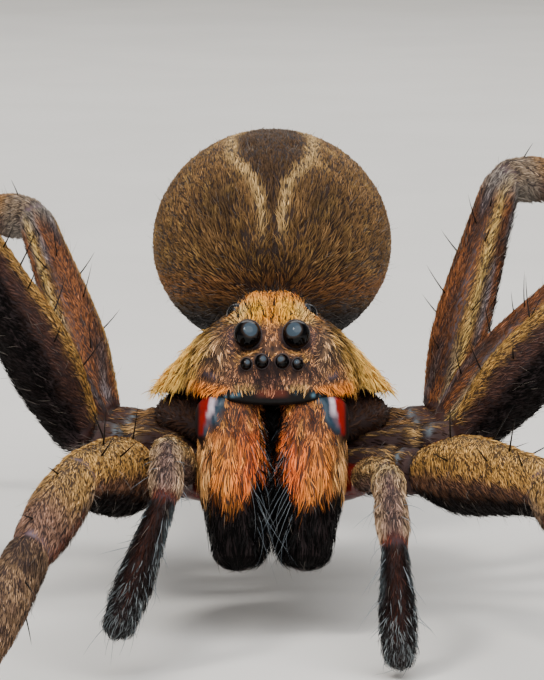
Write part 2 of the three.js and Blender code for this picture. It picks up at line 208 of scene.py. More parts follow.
def carapace_section(y):
    share = np.clip((y - FRONT_POLE) / CARAPACE["length"], 0, 1)
    flare = smoothstep(y, *CARAPACE["flare"])
    closing = (2 * np.sqrt(share * (1 - share))) ** CARAPACE["bluntness"]

    def between(key):
        head, thorax = CARAPACE[key]
        return head + (thorax - head) * flare

    return (
        closing * between("half_width"),
        closing * between("height"),
        closing * CARAPACE["lip"],
        between("margin"),
        between("roundness"),
    )


def crown_rise(x, y):
    across = fade(np.abs(x), CROWN["full_to"], CROWN["ends_at"])
    along = smoothstep(y, *CROWN["front"]), fade(y, *CROWN["back"])
    return CROWN["rise"] * across * along[0] * along[1]


def face_at(x, z):
    """The y of the face's surface in front of a given place."""
    outside, inside = FRONT_POLE, CARAPACE["flare"][1]
    for _ in range(30):
        y = (outside + inside) / 2
        half_width, height, _, margin, roundness = carapace_section(y)
        rise = max(0.0, z - margin - crown_rise(x, y)) / height
        if (abs(x) / half_width) ** roundness + rise ** roundness < 1:
            inside = y
        else:
            outside = y
    return inside


def eye_balls():
    """Each eye's node name, centre, radius and the way it looks."""
    eyes = []
    for side_name, side in SIDES.items():
        for name, (x, rise, radius, sunk) in FRONT_EYES.items():
            z = LARGE_EYE_LEVEL + rise
            centre = np.array([x * side, face_at(x, z) + radius * sunk, z])
            look = unit(np.array([0.25 * x * side, -1.0, 0.16]))
            eyes.append((f"eye_{name}_{side_name}", centre, radius, look))
        x, y, z, radius = REAR_EYE
        name, centre = f"eye_posterior_lateral_{side_name}", np.array([x * side, y, z])
        eyes.append((name, centre, radius, unit(np.array([0.8 * side, 0.25, 0.6]))))
    return eyes


EYES = eye_balls()


def carapace():
    face = np.linspace(0.08, 1, 46) ** 2.38
    back = np.linspace(1, math.pi - 0.5, 84)[1:]
    rear = math.pi - np.linspace(0.75, 0.1, 14) ** 2.38
    turn = np.concatenate([face, back, rear[rear > back[-1]]])
    upper = np.linspace(0, math.pi, 112, endpoint=False)
    lower = np.linspace(math.pi, 2 * math.pi, 36, endpoint=False)
    angle = np.concatenate([upper, lower])
    y = np.broadcast_to((FRONT_POLE + CARAPACE["length"] * (1 - np.cos(turn)) / 2)[:, None],
                        (len(turn), len(angle)))
    side, rise = np.cos(angle)[None, :], np.sin(angle)[None, :]
    half_width, height, lip, margin, roundness = carapace_section(y)
    power = np.where(rise > 0, roundness, 2.0)
    reach = (np.abs(side) ** power + np.abs(rise) ** power) ** (-1 / power)
    x = half_width * side * reach
    lift = np.where(rise > 0, crown_rise(x, y), 0)
    z = margin + rise * reach * np.where(rise > 0, height, lip) + lift
    outer = vectors(x, y, z)
    depth = 0.12 + 0.1 * smoothstep(y, 1.5, 4)
    poles = [(0, FRONT_POLE + 0.12, CARAPACE["margin"][0]),
             (0, FRONT_POLE + CARAPACE["length"] - 0.22, CARAPACE["margin"][1])]
    surface = Surface(with_sockets(set_in(outer, depth)), poles)
    mark_carapace(surface)
    return surface.finished()


def with_sockets(points):
    """The skin pushed back round each eye, so far that a little more than half the ball shows."""
    for _, centre, radius, look in EYES:
        away = points - centre
        along = dot(away, look)
        across = np.linalg.norm(away - along * look, axis=-1, keepdims=True)
        near = fade(across, 1.15 * radius, 1.7 * radius)
        near = near * (np.abs(along) < 1.5 * radius)
        points = points - look * np.maximum(0, along + RIM_DEPTH * radius) * near
    return points


def mark_carapace(s):
    x, y, z = np.moveaxis(s.points, -1, 0)
    a, side = np.abs(x), np.sign(x)  # the distance from the middle plane, and the side
    face = fade(y, 2.3, 3.1) * smoothstep(-s.normals[..., 1], 0.02, 0.4)
    crown = fade(y, 3.4, 4.6) * smoothstep(z, 12.12, 12.4) * fade(a, 1.85, 2.2)
    head = np.maximum(face, crown)
    fine = ripple(s.points, 0.3, 3)
    broad = ripple(s.points, 0.9, 4)
    strand = ripple(vectors(0.73 * a - 0.68 * z, 0.17 * a + 0.18 * z, 0), 0.16, 5)
    speck = ripple(vectors(x, y, 0.45 * z), 0.12, 7)
    lock = ripple(vectors(x, 0.12 * y, 0.22 * z), 0.17, 6)
    lip_level = 9.92 - 0.22 * smoothstep(a, 1.75, 2.3)

    # the back: a pale middle band, dark sides with pale rays, plush yellow flanks
    rays = np.cos(np.arctan2(a, y - 8.0) * 11) ** 2
    outward = a / np.maximum(carapace_section(y)[0], 0.1)
    back = paint(
        s.colour,
        ("3d2b1d", 1),
        ("86602f", 0.6 * rays * smoothstep(a, 0.9, 1.8)),
        ("a97c3a", fade(a + 0.08 * fine, 0.5, 1.1)),
        ("ffca66", smoothstep(outward + 0.03 * fine, 0.62, 0.82)),
        ("3a281c", 0.9 * bell(y, 2.9, 0.75) * smoothstep(a, 1.9, 2.7)),
    )
    # the front, and the gold crown between and behind the large eyes
    cheek = smoothstep(a, 1.6, 2.1) * bell(z, 11.3, 0.8)
    above_lip = fade(z, 10.4, 10.9)
    between = (1 - cheek) * fade(z, 11.9, 12.2)
    fringe = fade(z, 9.98, 10.16) * smoothstep(a, 1.5, 1.8)
    tufts = bell(a, 1.05, 0.36) * fade(z, 10.1, 10.22)
    beard = fade(a, 0.2, 0.32) * fade(z, 10.05, 10.2)
    front = paint(
        s.colour,
        ("9c6a48", 1),
        ("573a32", np.clip(0.4 + 0.7 * fine + 0.3 * broad, 0, 1) * 0.8),
        # the cheeks' pale hair with dark gaps
        ("e6b684", 0.9 * cheek),
        ("0a0504", cheek * smoothstep(strand, -0.12, 0.12)),
        # lighter corners below the cheeks, a stripe up the middle, pale arcs between the eye rows
        ("a06c42", 0.7 * smoothstep(a, 1.8, 2.3) * fade(z, 10.5, 11.0)),
        ("c1824e", 0.8 * bell(a, 0, 0.3) * smoothstep(z, 11.2, 11.5)),
        ("e0a24a", 0.95 * bell(a, 1.28, 0.3) * bell(z, 11.14, 0.2)),
        ("c9924e", 0.7 * bell(z, 11.28, 0.12) * fade(a, 0.9, 1.3)),
        # the darker strip above the lip and the dark outer edges, then dark and pale specks
        ("553a34", 0.75 * above_lip * fade(a, 0.6, 1.2)),
        ("33211d", 0.8 * smoothstep(a, 2.75, 3.1) * smoothstep(z, 10.2, 10.5)),
        ("120a0a", 0.9 * between * smoothstep(speck, 0.05, 0.35)),
        ("cf9468", 0.7 * between * smoothstep(-speck, 0.1, 0.35)),
        # the hair that hangs over the lip
        ("f8943c", fringe),
        ("d9ab6a", tufts),
        ("84543e", beard),
    )
    gold = paint(
        front,
        ("ffb93a", 1),
        ("ffd582", smoothstep(a, 0.75, 1.25)),
        ("fb9a36", 0.6 * bell(a, 0, 0.3)),
        ("fa9430", np.maximum(0.65 * smoothstep(y, 1.4, 2.6), 0.3 * bell(z, 12.4, 0.12))),
        ("5a1c08", (0.7 - 0.35 * smoothstep(a, 0.7, 1.3)) * smoothstep(lock, 0.48, 0.75)),
    )
    front = front * 1.2
    front = front + (gold - front) * crown[..., None]
    s.colour = back + (front - back) * head[..., None]
    tip = 1.22 + 0.22 * crown + (0.8 * face + 0.25 * cheek) * (1 - crown)
    s.tip = s.colour * tip[..., None]

    # the way the hair lies
    flank = smoothstep(outward, 0.6, 0.8)
    turn_in = smoothstep(a, 0.6, 1.8) * np.where(z > 10.9, 0.75, np.where(z > 10.15, -0.15, 0.6))
    parting = bell(a, 0, 0.33) * smoothstep(z, 11.3, 11.7) * face
    lie = vectors(0.25 * x, 1, -0.35 * a)
    for share, direction in (
        (flank, vectors(0.6 * side, 0.2, -0.9)),
        (face, vectors(-side * turn_in, 0, -0.8)),
        (tufts, vectors(0.9 * (x - 1.05 * side), -0.4, -0.8)),
        (fringe * face, vectors(0.75 * side, -0.2, -0.7)),
        (np.maximum(crown, parting),
         vectors(side * (0.15 * a + 0.9 * smoothstep(a, 0.9, 1.6)), 0.5, 1)),
    ):
        lie = lie + (direction - lie) * share[..., None]

    # the hair's size and spread: longest in the edging over the lip, finest on the face
    edging = np.maximum(np.maximum(fringe, tufts), beard) * face
    s.length = 0.42 - 0.22 * face + 0.08 * crown + 0.16 * flank * (1 - head)
    clypeus = face * (1 - cheek) * (1 - edging) * fade(z, 10.75, 11.0)
    s.length += face * 0.2 * cheek + 0.13 * edging - 0.04 * clypeus
    s.width = 0.052 - 0.028 * head + 0.002 * face * cheek + 0.002 * crown - 0.004 * tufts
    s.lift = 13 + 6 * crown + 12 * flank * (1 - head) + 24 * edging
    s.follow = smoothstep(z - carapace_section(y)[3], 0.25, 0.9)
    s.clump = 0.15 + 0.3 * face * cheek + 0.15 * edging + 0.15 * crown
    s.wave = 0.03 + 0.09 * face * cheek
    s.tip = s.tip * (1 + 0.9 * clypeus[..., None])
    s.density = 1 - 0.3 * face - 0.2 * cheek * face + 0.6 * crown + 0.3 * fringe - 0.15 * tufts

    # bare places: the glossy front edge, the slate blotches, the bands beside and below the eyes
    edge = face * fade(z, lip_level - 0.06, lip_level + 0.02)
    blotch = bell(a, 2.4, 0.3) * bell(z, 10.35, 0.16) * face
    band = bell(a, 1.62, 0.16) * bell(z, 11.8, 0.5) * face
    below = smoothstep(-s.normals[..., 2], 0.3, 0.6)
    s.bare = np.clip(edge + 0.95 * blotch + 0.55 * band + below, 0, 1)
    # a painted sheen: blue-grey streaks along the black front edge
    streak = edge * bell(a, 1.6, 0.5) * bell(z, 9.72 - 0.12 * (a - 1.2), 0.09)
    skin = paint(
        s.colour * 0,
        ("261819", 1),
        ("504a58", 0.9 * blotch),
        ("5b474c", 0.8 * band),
        ("090707", edge),
        ("55261a", edge * fade(a, 0.3, 0.8) * smoothstep(z, 9.5, 9.75)),
        ("4d6f80", streak * smoothstep(lock, -0.3, 0.3)),
    )
    s.gloss = np.clip(0.05 * edge + 0.5 * blotch, 0, 1)
    for _, centre, radius, _ in EYES:
        away = s.points - centre
        clearance = np.linalg.norm(away, axis=-1) - radius
        rim = fade(clearance, 0.02, 0.06)
        s.bare = np.maximum(s.bare, rim)
        s.gloss = np.maximum(s.gloss, 0.5 * rim)
        skin = paint(skin, ("3f3033", rim))
        near = fade(clearance, 0.05, 0.25) * (1 if centre[1] < 2 else 0.2)
        s.length = s.length * (1 - 0.35 * near)
        lie = lie + unit(away) * near[..., None]
    s.lie = lie
    s.skin = skin


# ---------------------------------------------------------------- abdomen and underside

ABDOMEN = {
    "centre": (0, 19.7, 12.95),
    "half": (5.45, 7.7, 5.1),
    "tilt": 5,
    "taper": 0.12,
    "bluntness": 0.04,
    "rise": (1.04, 0.96),
}
STERNUM = {"middle": 5.4, "level": 5.25, "half": (2.75, 4.5, 1.05), "narrowing": 0.28}


def ball_rings(rings, columns):
    """Points of a unit ball with its poles at -Y and +Y."""
    turn = np.linspace(0, math.pi, rings + 2)[1:-1, None]
    angle = np.linspace(0, 2 * math.pi, columns, endpoint=False)[None, :]
    return vectors(np.sin(turn) * np.cos(angle), -np.cos(turn), np.sin(turn) * np.sin(angle))


def turned_about_x(points, degrees):
    c, s = math.cos(math.radians(degrees)), math.sin(math.radians(degrees))
    x, y, z = np.moveaxis(points, -1, 0)
    return vectors(x, y * c - z * s, y * s + z * c)


def abdomen():
    coat_depth = 0.25
    ball = ball_rings(96, 110)
    x, y, z = np.moveaxis(ball, -1, 0)
    half = ABDOMEN["half"]
    closing = np.maximum(0, 1 - y * y) ** ABDOMEN["bluntness"]
    above, below = ABDOMEN["rise"]
    outer = vectors(
        x * half[0] * closing * (1 + ABDOMEN["taper"] * y),
        y * half[1],
        z * half[2] * closing * np.where(z > 0, above, below),
    )
    outer = turned_about_x(outer, -ABDOMEN["tilt"]) + ABDOMEN["centre"]
    poles = [turned_about_x(np.array([0, end * (half[1] - coat_depth), 0]), -ABDOMEN["tilt"])
             + ABDOMEN["centre"] for end in (-1, 1)]
    s = Surface(set_in(outer, coat_depth), poles, ball=ball)
    # two rows of shallow pits along the back
    for pit_y, pit_x in ((-0.42, 0.2), (-0.1, 0.24), (0.2, 0.2)):
        pit = bell(np.abs(x), pit_x, 0.045) * bell(y, pit_y, 0.05) * (z > 0)
        s.points = s.points - s.normals * (0.22 * pit)[..., None]
    mark_abdomen(s, x, y, z)
    return s.finished()


def mark_abdomen(s, x, y, z):
    a = np.abs(x)
    back = smoothstep(z, -0.1, 0.45)
    belly = smoothstep(-z, 0.35, 0.7)
    fine = ripple(s.points, 0.6, 11)
    broad = ripple(s.points, 1.8, 12)
    # a dark spearhead over the heart, with pale edges, and chevrons behind it
    spear = 0.25 * smoothstep(y, -0.95, -0.5) * fade(y, -0.15, 0.16) + 0.02
    inside = fade(a, spear, spear + 0.05) * fade(y, 0.05, 0.2) * back
    border = bell(a, spear + 0.09, 0.045) * fade(y, 0.05, 0.2) * back
    wave = (y * 1.15 + a * 0.55 - 0.12) / 0.24
    chevron = smoothstep(np.cos(2 * math.pi * wave), 0.1, 0.8) * smoothstep(y, 0.02, 0.15)
    chevron = chevron * fade(a, 0.42, 0.6) * back
    pale = smoothstep(np.cos(2 * math.pi * (wave - 0.45)), 0.55, 0.95) * smoothstep(y, 0.02, 0.15)
    shoulder = smoothstep(-y, 0.45, 0.85) * smoothstep(a, 0.2, 0.45) * back
    colour = paint(
        s.colour,
        ("7c5c38", 1),
        ("46331f", np.clip(0.45 + 0.6 * fine + 0.3 * broad, 0, 1) * 0.8),
        ("a9834c", 0.55 * smoothstep(fine, 0.25, 0.7)),
        ("c2a06a", 0.85 * border),
        ("3f2e20", 0.9 * inside),
        ("33261c", 0.75 * chevron),
        ("c2a06a", 0.7 * pale * fade(a, 0.4, 0.58) * back),
        ("2e231a", 0.7 * shoulder),
        ("8a5a34", 0.8 * smoothstep(-z, 0.15, 0.45) * (1 - belly)),
        ("171311", belly),
    )
    s.colour = colour
    s.lie = unit(s.points - np.array([0, 12.5, 9.5])) + np.array([0, 0.35, 0])
    s.length = 0.34 + 0.16 * smoothstep(-y, 0.5, 0.9)
    s.lift = 13 + 10 * smoothstep(np.abs(y), 0.6, 0.95)
    s.all_over(width=0.05, clump=0.22)


def egg(centre, half, colour, rings=30, columns=40, bare=1.0, gloss=0.2):
    """A plain closed egg of skin."""
    centre, half = np.array(centre), np.array(half)
    poles = [centre - (0, half[1], 0), centre + (0, half[1], 0)]
    s = Surface(centre + ball_rings(rings, columns) * half, poles)
    s.colour = paint(s.colour, (colour, 1))
    s.all_over(bare=bare, gloss=gloss)
    s.skin = s.colour
    s.lie = s.points * 0 + (0, 1, -0.2)
    return s.finished()


def sternum():
    coat_depth = 0.12
    ball = ball_rings(40, 56)
    x, y, z = np.moveaxis(ball, -1, 0)
    half = STERNUM["half"]
    outer = vectors(
        x * half[0] * (1 - STERNUM["narrowing"] * y),
        STERNUM["middle"] + y * half[1],
        STERNUM["level"] + (1 + z) * half[2],
    )
    poles = [(0, STERNUM["middle"] + end * (half[1] - coat_depth), STERNUM["level"] + half[2])
             for end in (-1, 1)]
    s = Surface(set_in(outer, coat_depth), poles)
    s.colour = paint(s.colour, ("191413", 1))
    s.lie = vectors(0.3 * x, 1, -0.2)
    s.bare = smoothstep(z, 0.1, 0.5)
    s.skin = paint(s.colour, ("5d5155", s.bare))
    s.all_over(length=0.35)
    return s.finished()


# ---------------------------------------------------------------- limbs

SEGMENT_LENGTHS = {
    "leg_1": (9.4, 4.7, 7.2, 7.4, 3.9),
    "leg_2": (9.5, 4.5, 6.4, 7.0, 3.7),
    "leg_3": (8.1, 3.9, 5.3, 7.2, 3.8),
    "leg_4": (10.5, 4.6, 8.3, 11.2, 4.8),
}
SEGMENTS = ("coxa", "femur", "patella", "tibia", "metatarsus", "tarsus")
HALF_HEIGHTS = {
    "coxa": (1.0, 1.15, 1.05),
    "femur": (1.15, 1.65, 1.2),
    "patella": (1.15, 1.32, 1.1),
    "tibia": (1.08, 1.2, 0.92),
    "metatarsus": (0.82, 0.76, 0.58),
    "tarsus": (0.56, 0.56, 0.4),
}
FLATNESS = (0.95, 0.88, 0.82, 0.82, 0.95, 0.95)  # width of each segment as a share of its height
ARCH = (0, 0.15, 0.05, 0.05, 0, 0)
LEG_THICKNESS = {"leg_1": 1, "leg_2": 0.94, "leg_3": 0.82, "leg_4": 0.82}
SOLE_HEIGHT = 0.7  # middle of a tarsus tip above the ground, as a share of its half height
LEG_COAT_DEPTH = 0.15

# Where the coxa leaves the body, the hip, then headings and pitches of the segments from the femur
# on, in degrees. The tarsus comes down to the ground.
LEG_POSES = {
    "leg_1_left": ((2.8, 1.95, 6.3), (6.0, 0.8, 6.4), (27, 24, 26, 27, 27), (6, -22, -34, -11)),
    "leg_1_right": ((2.65, 1.85, 6.3), (5.1, 0.6, 6.15), (13.5, 19, 24, 25, 25),
                    (10.5, -22, -35, -12)),
    "leg_2_left": ((3.1, 4.0, 6.5), (7.7, 2.85, 7.3), (74, 64, 62, 60, 58), (48, -8, -55, -64)),
    "leg_2_right": ((3.1, 4.0, 6.5), (7.6, 2.8, 7.3), (71, 66, 65, 63, 60), (62, -8, -60, -69)),
    "leg_3_left": ((3.1, 6.3, 6.5), (7.0, 5.7, 7.1), (108, 104, 102, 100, 98),
                   (46, -14, -46, -58)),
    "leg_3_right": ((3.1, 6.3, 6.5), (7.0, 5.7, 7.1), (110, 106, 103, 101, 99),
                    (45, -14, -45, -58)),
    "leg_4_left": ((2.6, 8.5, 6.6), (6.9, 9.0, 6.95), (130, 142, 150, 153, 154),
                   (70, -6, -46, -54)),
    "leg_4_right": ((2.6, 8.5, 6.6), (6.85, 8.9, 6.9), (152, 150, 151, 152, 152),
                    (48, -4, -38, -50)),
}
PALP_JOINTS = {  # hip, knee, bend, wrist and tip
    "left": ((3.5, 0.75, 6.1), (4.4, -3.3, 7.15), (4.48, -5.0, 6.55), (4.6, -6.9, 5.25),
             (4.8, -7.3, 0.95)),
    "right": ((3.35, 0.75, 6.2), (4.0, -3.2, 8.1), (4.0, -5.0, 7.85), (4.0, -6.9, 6.95),
              (5.75, -7.3, 2.1)),
}
PALP_HALF_HEIGHTS = ((0.62, 0.78, 0.66), (0.68, 0.76, 0.72), (0.72, 0.76, 0.74), (0.6, 0.8, 0.68))
CHELICERA = {"hinge": (1.65, 0.95, 8.8), "tip": (1.34, -1.05, 3.5), "half": (1.55, 1.72)}


def fullness(radii, share, fullest_at):
    near, full, far = radii
    return (near + (full - near) * smoothstep(share, 0, fullest_at)
            + (far - full) * smoothstep(share, fullest_at, 1))


def limb(joints, radii, flatness, arch, fullest_at, columns, spacing, back, depth,
         rounding=0.6, dip=0.13, cap=0.75):
    """A limb of skin through its joints, which are rounded off, and slightly waisted at each."""
    joints = np.array(joints, float)
    steps = np.linalg.norm(np.diff(joints, axis=0), axis=1)
    ends = np.concatenate([[0], np.cumsum(steps)])
    total = ends[-1]
    s = np.linspace(0, total, int(total / spacing) + 1)
    reach = np.minimum(rounding, np.minimum(s, total - s))
    spots = s[:, None] + reach[:, None] * np.linspace(-1, 1, 9)[None, :]
    number = np.clip(np.searchsorted(ends, spots, side="right") - 1, 0, len(steps) - 1)
    share = (spots - ends[number]) / steps[number]
    centre = np.stack([np.interp(spots, ends, joints[:, k]) for k in range(3)], -1).mean(1)
    sizes = np.zeros(spots.shape)
    for i in range(len(steps)):
        sizes = np.where(number == i, fullness(radii[i], share, fullest_at[i]), sizes)
    radius = sizes.mean(1) - depth
    waist = sum(bell(s, end, 0.24) for end in ends[1:-1]) if len(ends) > 2 else 0 * s
    radius = radius * (1 - dip * waist)
    flat = np.array(flatness)[number].mean(1)
    lift = (np.array(arch)[number] * 4 * share * (1 - share)).mean(1)
    along = unit(np.gradient(centre, axis=0))

    turns = np.array([1.0, 0.98, 0.92, 0.8, 0.6, 0.33])
    start, end = along[0] * cap * radius[0], along[-1] * cap * radius[-1]
    first = centre[0] - start * turns[:, None]
    last = centre[-1] + end * turns[::-1, None]
    poles = [centre[0] - start * 1.005, centre[-1] + end * 1.005]
    closing = np.sqrt(1 - np.minimum(turns * 0.995, 1) ** 2)
    pad = len(turns)
    centre = np.concatenate([first, centre, last])
    radius = np.concatenate([radius[0] * closing, radius, radius[-1] * closing[::-1]])
    along = np.concatenate([np.repeat(along[:1], pad, 0), along, np.repeat(along[-1:], pad, 0)])
    flat, lift, waist = (np.pad(values, pad, mode="edge") for values in (flat, lift, waist))
    place_on = np.pad(s, pad, mode="edge")

    up = unit(np.asarray(back, float) - along * dot(along, np.asarray(back, float)))
    across = np.cross(along, up)
    angle = np.linspace(0, 2 * math.pi, columns, endpoint=False)
    dorsal, side = np.cos(angle)[None, :], np.sin(angle)[None, :]
    tall, wide = radius[:, None, None], (radius * flat)[:, None, None]
    points = (centre + up * lift[:, None])[:, None, :]
    points = (points + across[:, None, :] * side[..., None] * wide
              + up[:, None, :] * dorsal[..., None] * tall)
    segment = np.clip(np.searchsorted(ends, place_on, side="right") - 1, 0, len(steps) - 1)
    along_share = (place_on - ends[segment]) / steps[segment]
    slope = across[:, None, :] * dorsal[..., None] - up[:, None, :] * side[..., None]
    whole = np.ones((len(radius), columns))
    return Surface(
        points, poles,
        segment=segment[:, None] * whole.astype(int),
        share=along_share[:, None] * whole,
        station=place_on[:, None] * whole,
        dorsal=dorsal * whole,
        side=side * whole,
        waist=waist[:, None] * whole,
        along=np.broadcast_to(along[:, None, :], points.shape),
        downwards=slope * (side / np.sqrt(side * side + 0.06))[..., None],
    )


def leg_joints(pair, side_name):
    body, hip, headings, pitches = LEG_POSES[f"{pair}_{side_name}"]
    side = SIDES[side_name]
    mirror = np.array([side, 1, 1])
    joints = [np.array(body) * mirror, np.array(hip) * mirror]
    tip_level = SOLE_HEIGHT * HALF_HEIGHTS["tarsus"][-1] * LEG_THICKNESS[pair]
    for i, length in enumerate(SEGMENT_LENGTHS[pair]):
        heading = math.radians(headings[i])
        if i < len(pitches):
            pitch = math.radians(pitches[i])
        else:
            pitch = math.asin((tip_level - joints[-1][2]) / length)
        step = np.array([side * math.sin(heading) * math.cos(pitch),
                         -math.cos(heading) * math.cos(pitch), math.sin(pitch)])
        joints.append(joints[-1] + step * length)
    return joints


def leg(pair, side_name):
    thickness = LEG_THICKNESS[pair]
    s = limb(
        leg_joints(pair, side_name),
        [[r * thickness for r in HALF_HEIGHTS[name]] for name in SEGMENTS],
        FLATNESS, ARCH,
        [0.45, 0.36, 0.45, 0.45, 0.45, 0.45],
        columns=28, spacing=0.21, back=(0, 0, 1), depth=LEG_COAT_DEPTH,
    )
    s.front = s.side * SIDES[side_name]
    mark_leg(s, pair)
    return s.finished()


def mark_leg(s, pair):
    d, f, share = s.dorsal, s.front, s.share
    coxa, femur, patella, tibia, metatarsus, tarsus = (s.segment == i for i in range(6))
    fine = ripple(s.points, 0.35, 21)
    broad = ripple(s.points, 1.1, 22)
    streak = ripple(vectors(1.1 * d, 1.1 * s.side, 0.13 * s.station), 0.4, 23)
    number = int(pair[-1])

    # colours of the parts, each over its whole length: d is 1 on the back, f is 1 in front
    colour = paint(s.colour, ("7b6450", 1))
    shadow = paint(s.colour, ("15100f", 1))
    if number <= 2:
        # ochre ridge, brown side and black underside
        ridge_from, black_to = (0.05, -0.35) if number == 1 else (0.55, 0.1)
        black = fade(d + 0.1 * fine, black_to - 0.15, black_to + 0.2)
        thigh = paint(
            colour,
            ("674836" if number == 1 else "4a342e", 1),
            ("b08446", smoothstep(d + 0.12 * fine, ridge_from, ridge_from + 0.3)),
            # a paler top on the ridge: painted highlight
            ("cfa45e", 0.5 * smoothstep(d, 0.6, 0.95)),
            ("050404", black),
        )
    else:
        thigh = paint(
            colour,
            ("865231", 1),
            ("432e25", np.clip(0.5 + 1.3 * streak + 0.3 * broad, 0, 1)),
            ("7b7579", 0.6 * smoothstep(streak, 0.35, 0.6)),
            ("c19f5c", bell(d, 0.45, 0.17) * smoothstep(f, 0.1, 0.4)),
            ("c19c5c", 0.8 * bell(d, 0.6, 0.17) * smoothstep(-f, 0.1, 0.4)),
            ("2a211d", fade(d, -0.75, -0.35)),
        )
    knee = paint(
        colour,
        ("b38a4f", smoothstep(d, -0.2, 0.4) * (1 - 0.7 * share)),
        ("80604f", smoothstep(share, 0.35, 0.8)),
        ("4a1d17", bell(d, -0.25, 0.3) * smoothstep(f, 0.2, 0.6) * (share > 0.3) * 0.8),
    )
    shin = paint(
        colour,
        ("97785a", 1),
        ("46342e", np.clip(0.5 + 0.9 * fine + 0.4 * broad, 0, 1) * 0.85),
        ("2c2420", 0.6 * bell(share, 0.12, 0.1) + 0.5 * bell(share, 0.95, 0.1)),
    )
    foot = paint(
        colour,
        ("80705c", 1),
        ("3b3530", np.clip(0.45 + 0.9 * fine, 0, 1) * 0.85),
        ("3a322e", smoothstep(share, 0.7, 1.0) * 0.6),
    )
    toe = paint(colour, ("5d554f", 1), ("2f2a29", fade(d, -0.4, 0.4)))
    pale_edge = np.clip(0.7 * bell(f, 0.45, 0.13) * smoothstep(d, 0, 0.3)
                        + bell(share, 0.56, 0.04) * smoothstep(d, 0, 0.5), 0, 1)
    hip = paint(
        colour,
        ("331c12", 1),
        ("120907", np.clip(0.6 + 0.8 * broad, 0, 1)),
        ("b08a58", 0.85 * pale_edge),
        ("140e0d", fade(d, -0.3, 0.3)),
    )
    for part, marking in ((coxa, hip), (femur, thigh), (patella, knee), (tibia, shin),
                          (metatarsus, foot), (tarsus, toe)):
        colour = np.where(part[..., None], marking, colour)
    below = smoothstep(-d, 0.3, 0.8)
    colour = colour + (shadow - colour) * (0.75 * below * ~coxa)[..., None]
    if number >= 3:
        colour = paint(colour, ("8a5f3d", 0.45 * smoothstep(d, -0.2, 0.4) * ~femur))
        knee_fuzz = femur * smoothstep(share, 0.86, 0.97) + patella * fade(share, 0.2, 0.5)
        colour = paint(colour, ("7d756b", 0.7 * knee_fuzz))
    s.colour = colour
    s.tip = colour * 1.3

    sweep = np.where(femur, (0.85, 0.55, 0.2, 0.2)[number - 1], 0.35)
    s.lie = s.along + s.downwards * sweep[..., None]
    s.density = 1 - coxa * (0.6 - 0.5 * pale_edge)
    s.length = np.where(tarsus, 0.28, 0.33) + 0.08 * below + 0.12 * coxa
    s.lift = 12 + 10 * below + np.where(tarsus, 10, 0)
    s.all_over(width=0.034, clump=0.2, wave=0)

    # joints show a rim of smooth skin, widest above
    s.bare = np.clip(smoothstep(s.waist, 0.7, 1.0) * (0.7 + 0.3 * d), 0, 1)
    skin = paint(s.colour, ("6d5b62", 1), ("402a2a", 0.5 + 0.5 * fine))
    if number >= 3:
        groove = (femur * bell(d, 0.75, 0.05) * smoothstep(np.abs(f), 0.1, 0.3)
                  * bell(share, 0.5, 0.3))
        s.bare = np.maximum(s.bare, 0.6 * groove)
        skin = paint(skin, ("6f646a", groove))
    trochanter = coxa * smoothstep(share, 0.6, 0.85) + femur * fade(share, 0.02, 0.07)
    gap = coxa * np.maximum(bell(share, 0.66, 0.035), smoothstep(share, 0.93, 1.0))
    s.bare = np.maximum(s.bare, np.maximum(0.75 * trochanter, 0.5 * coxa * (1 - pale_edge)))
    skin = paint(
        skin,
        ("2a1411", coxa * 1.0),
        ("36211d", trochanter),
        ("0d0808", gap),
        ("8fa3ad", 0.8 * coxa * bell(share, 0.74, 0.03) * bell(d, 0.75, 0.2)),
    )
    s.skin = skin
    s.gloss = (0.45 - 0.3 * coxa) * s.bare
    s.points = s.points - s.normals * (0.16 * gap)[..., None]


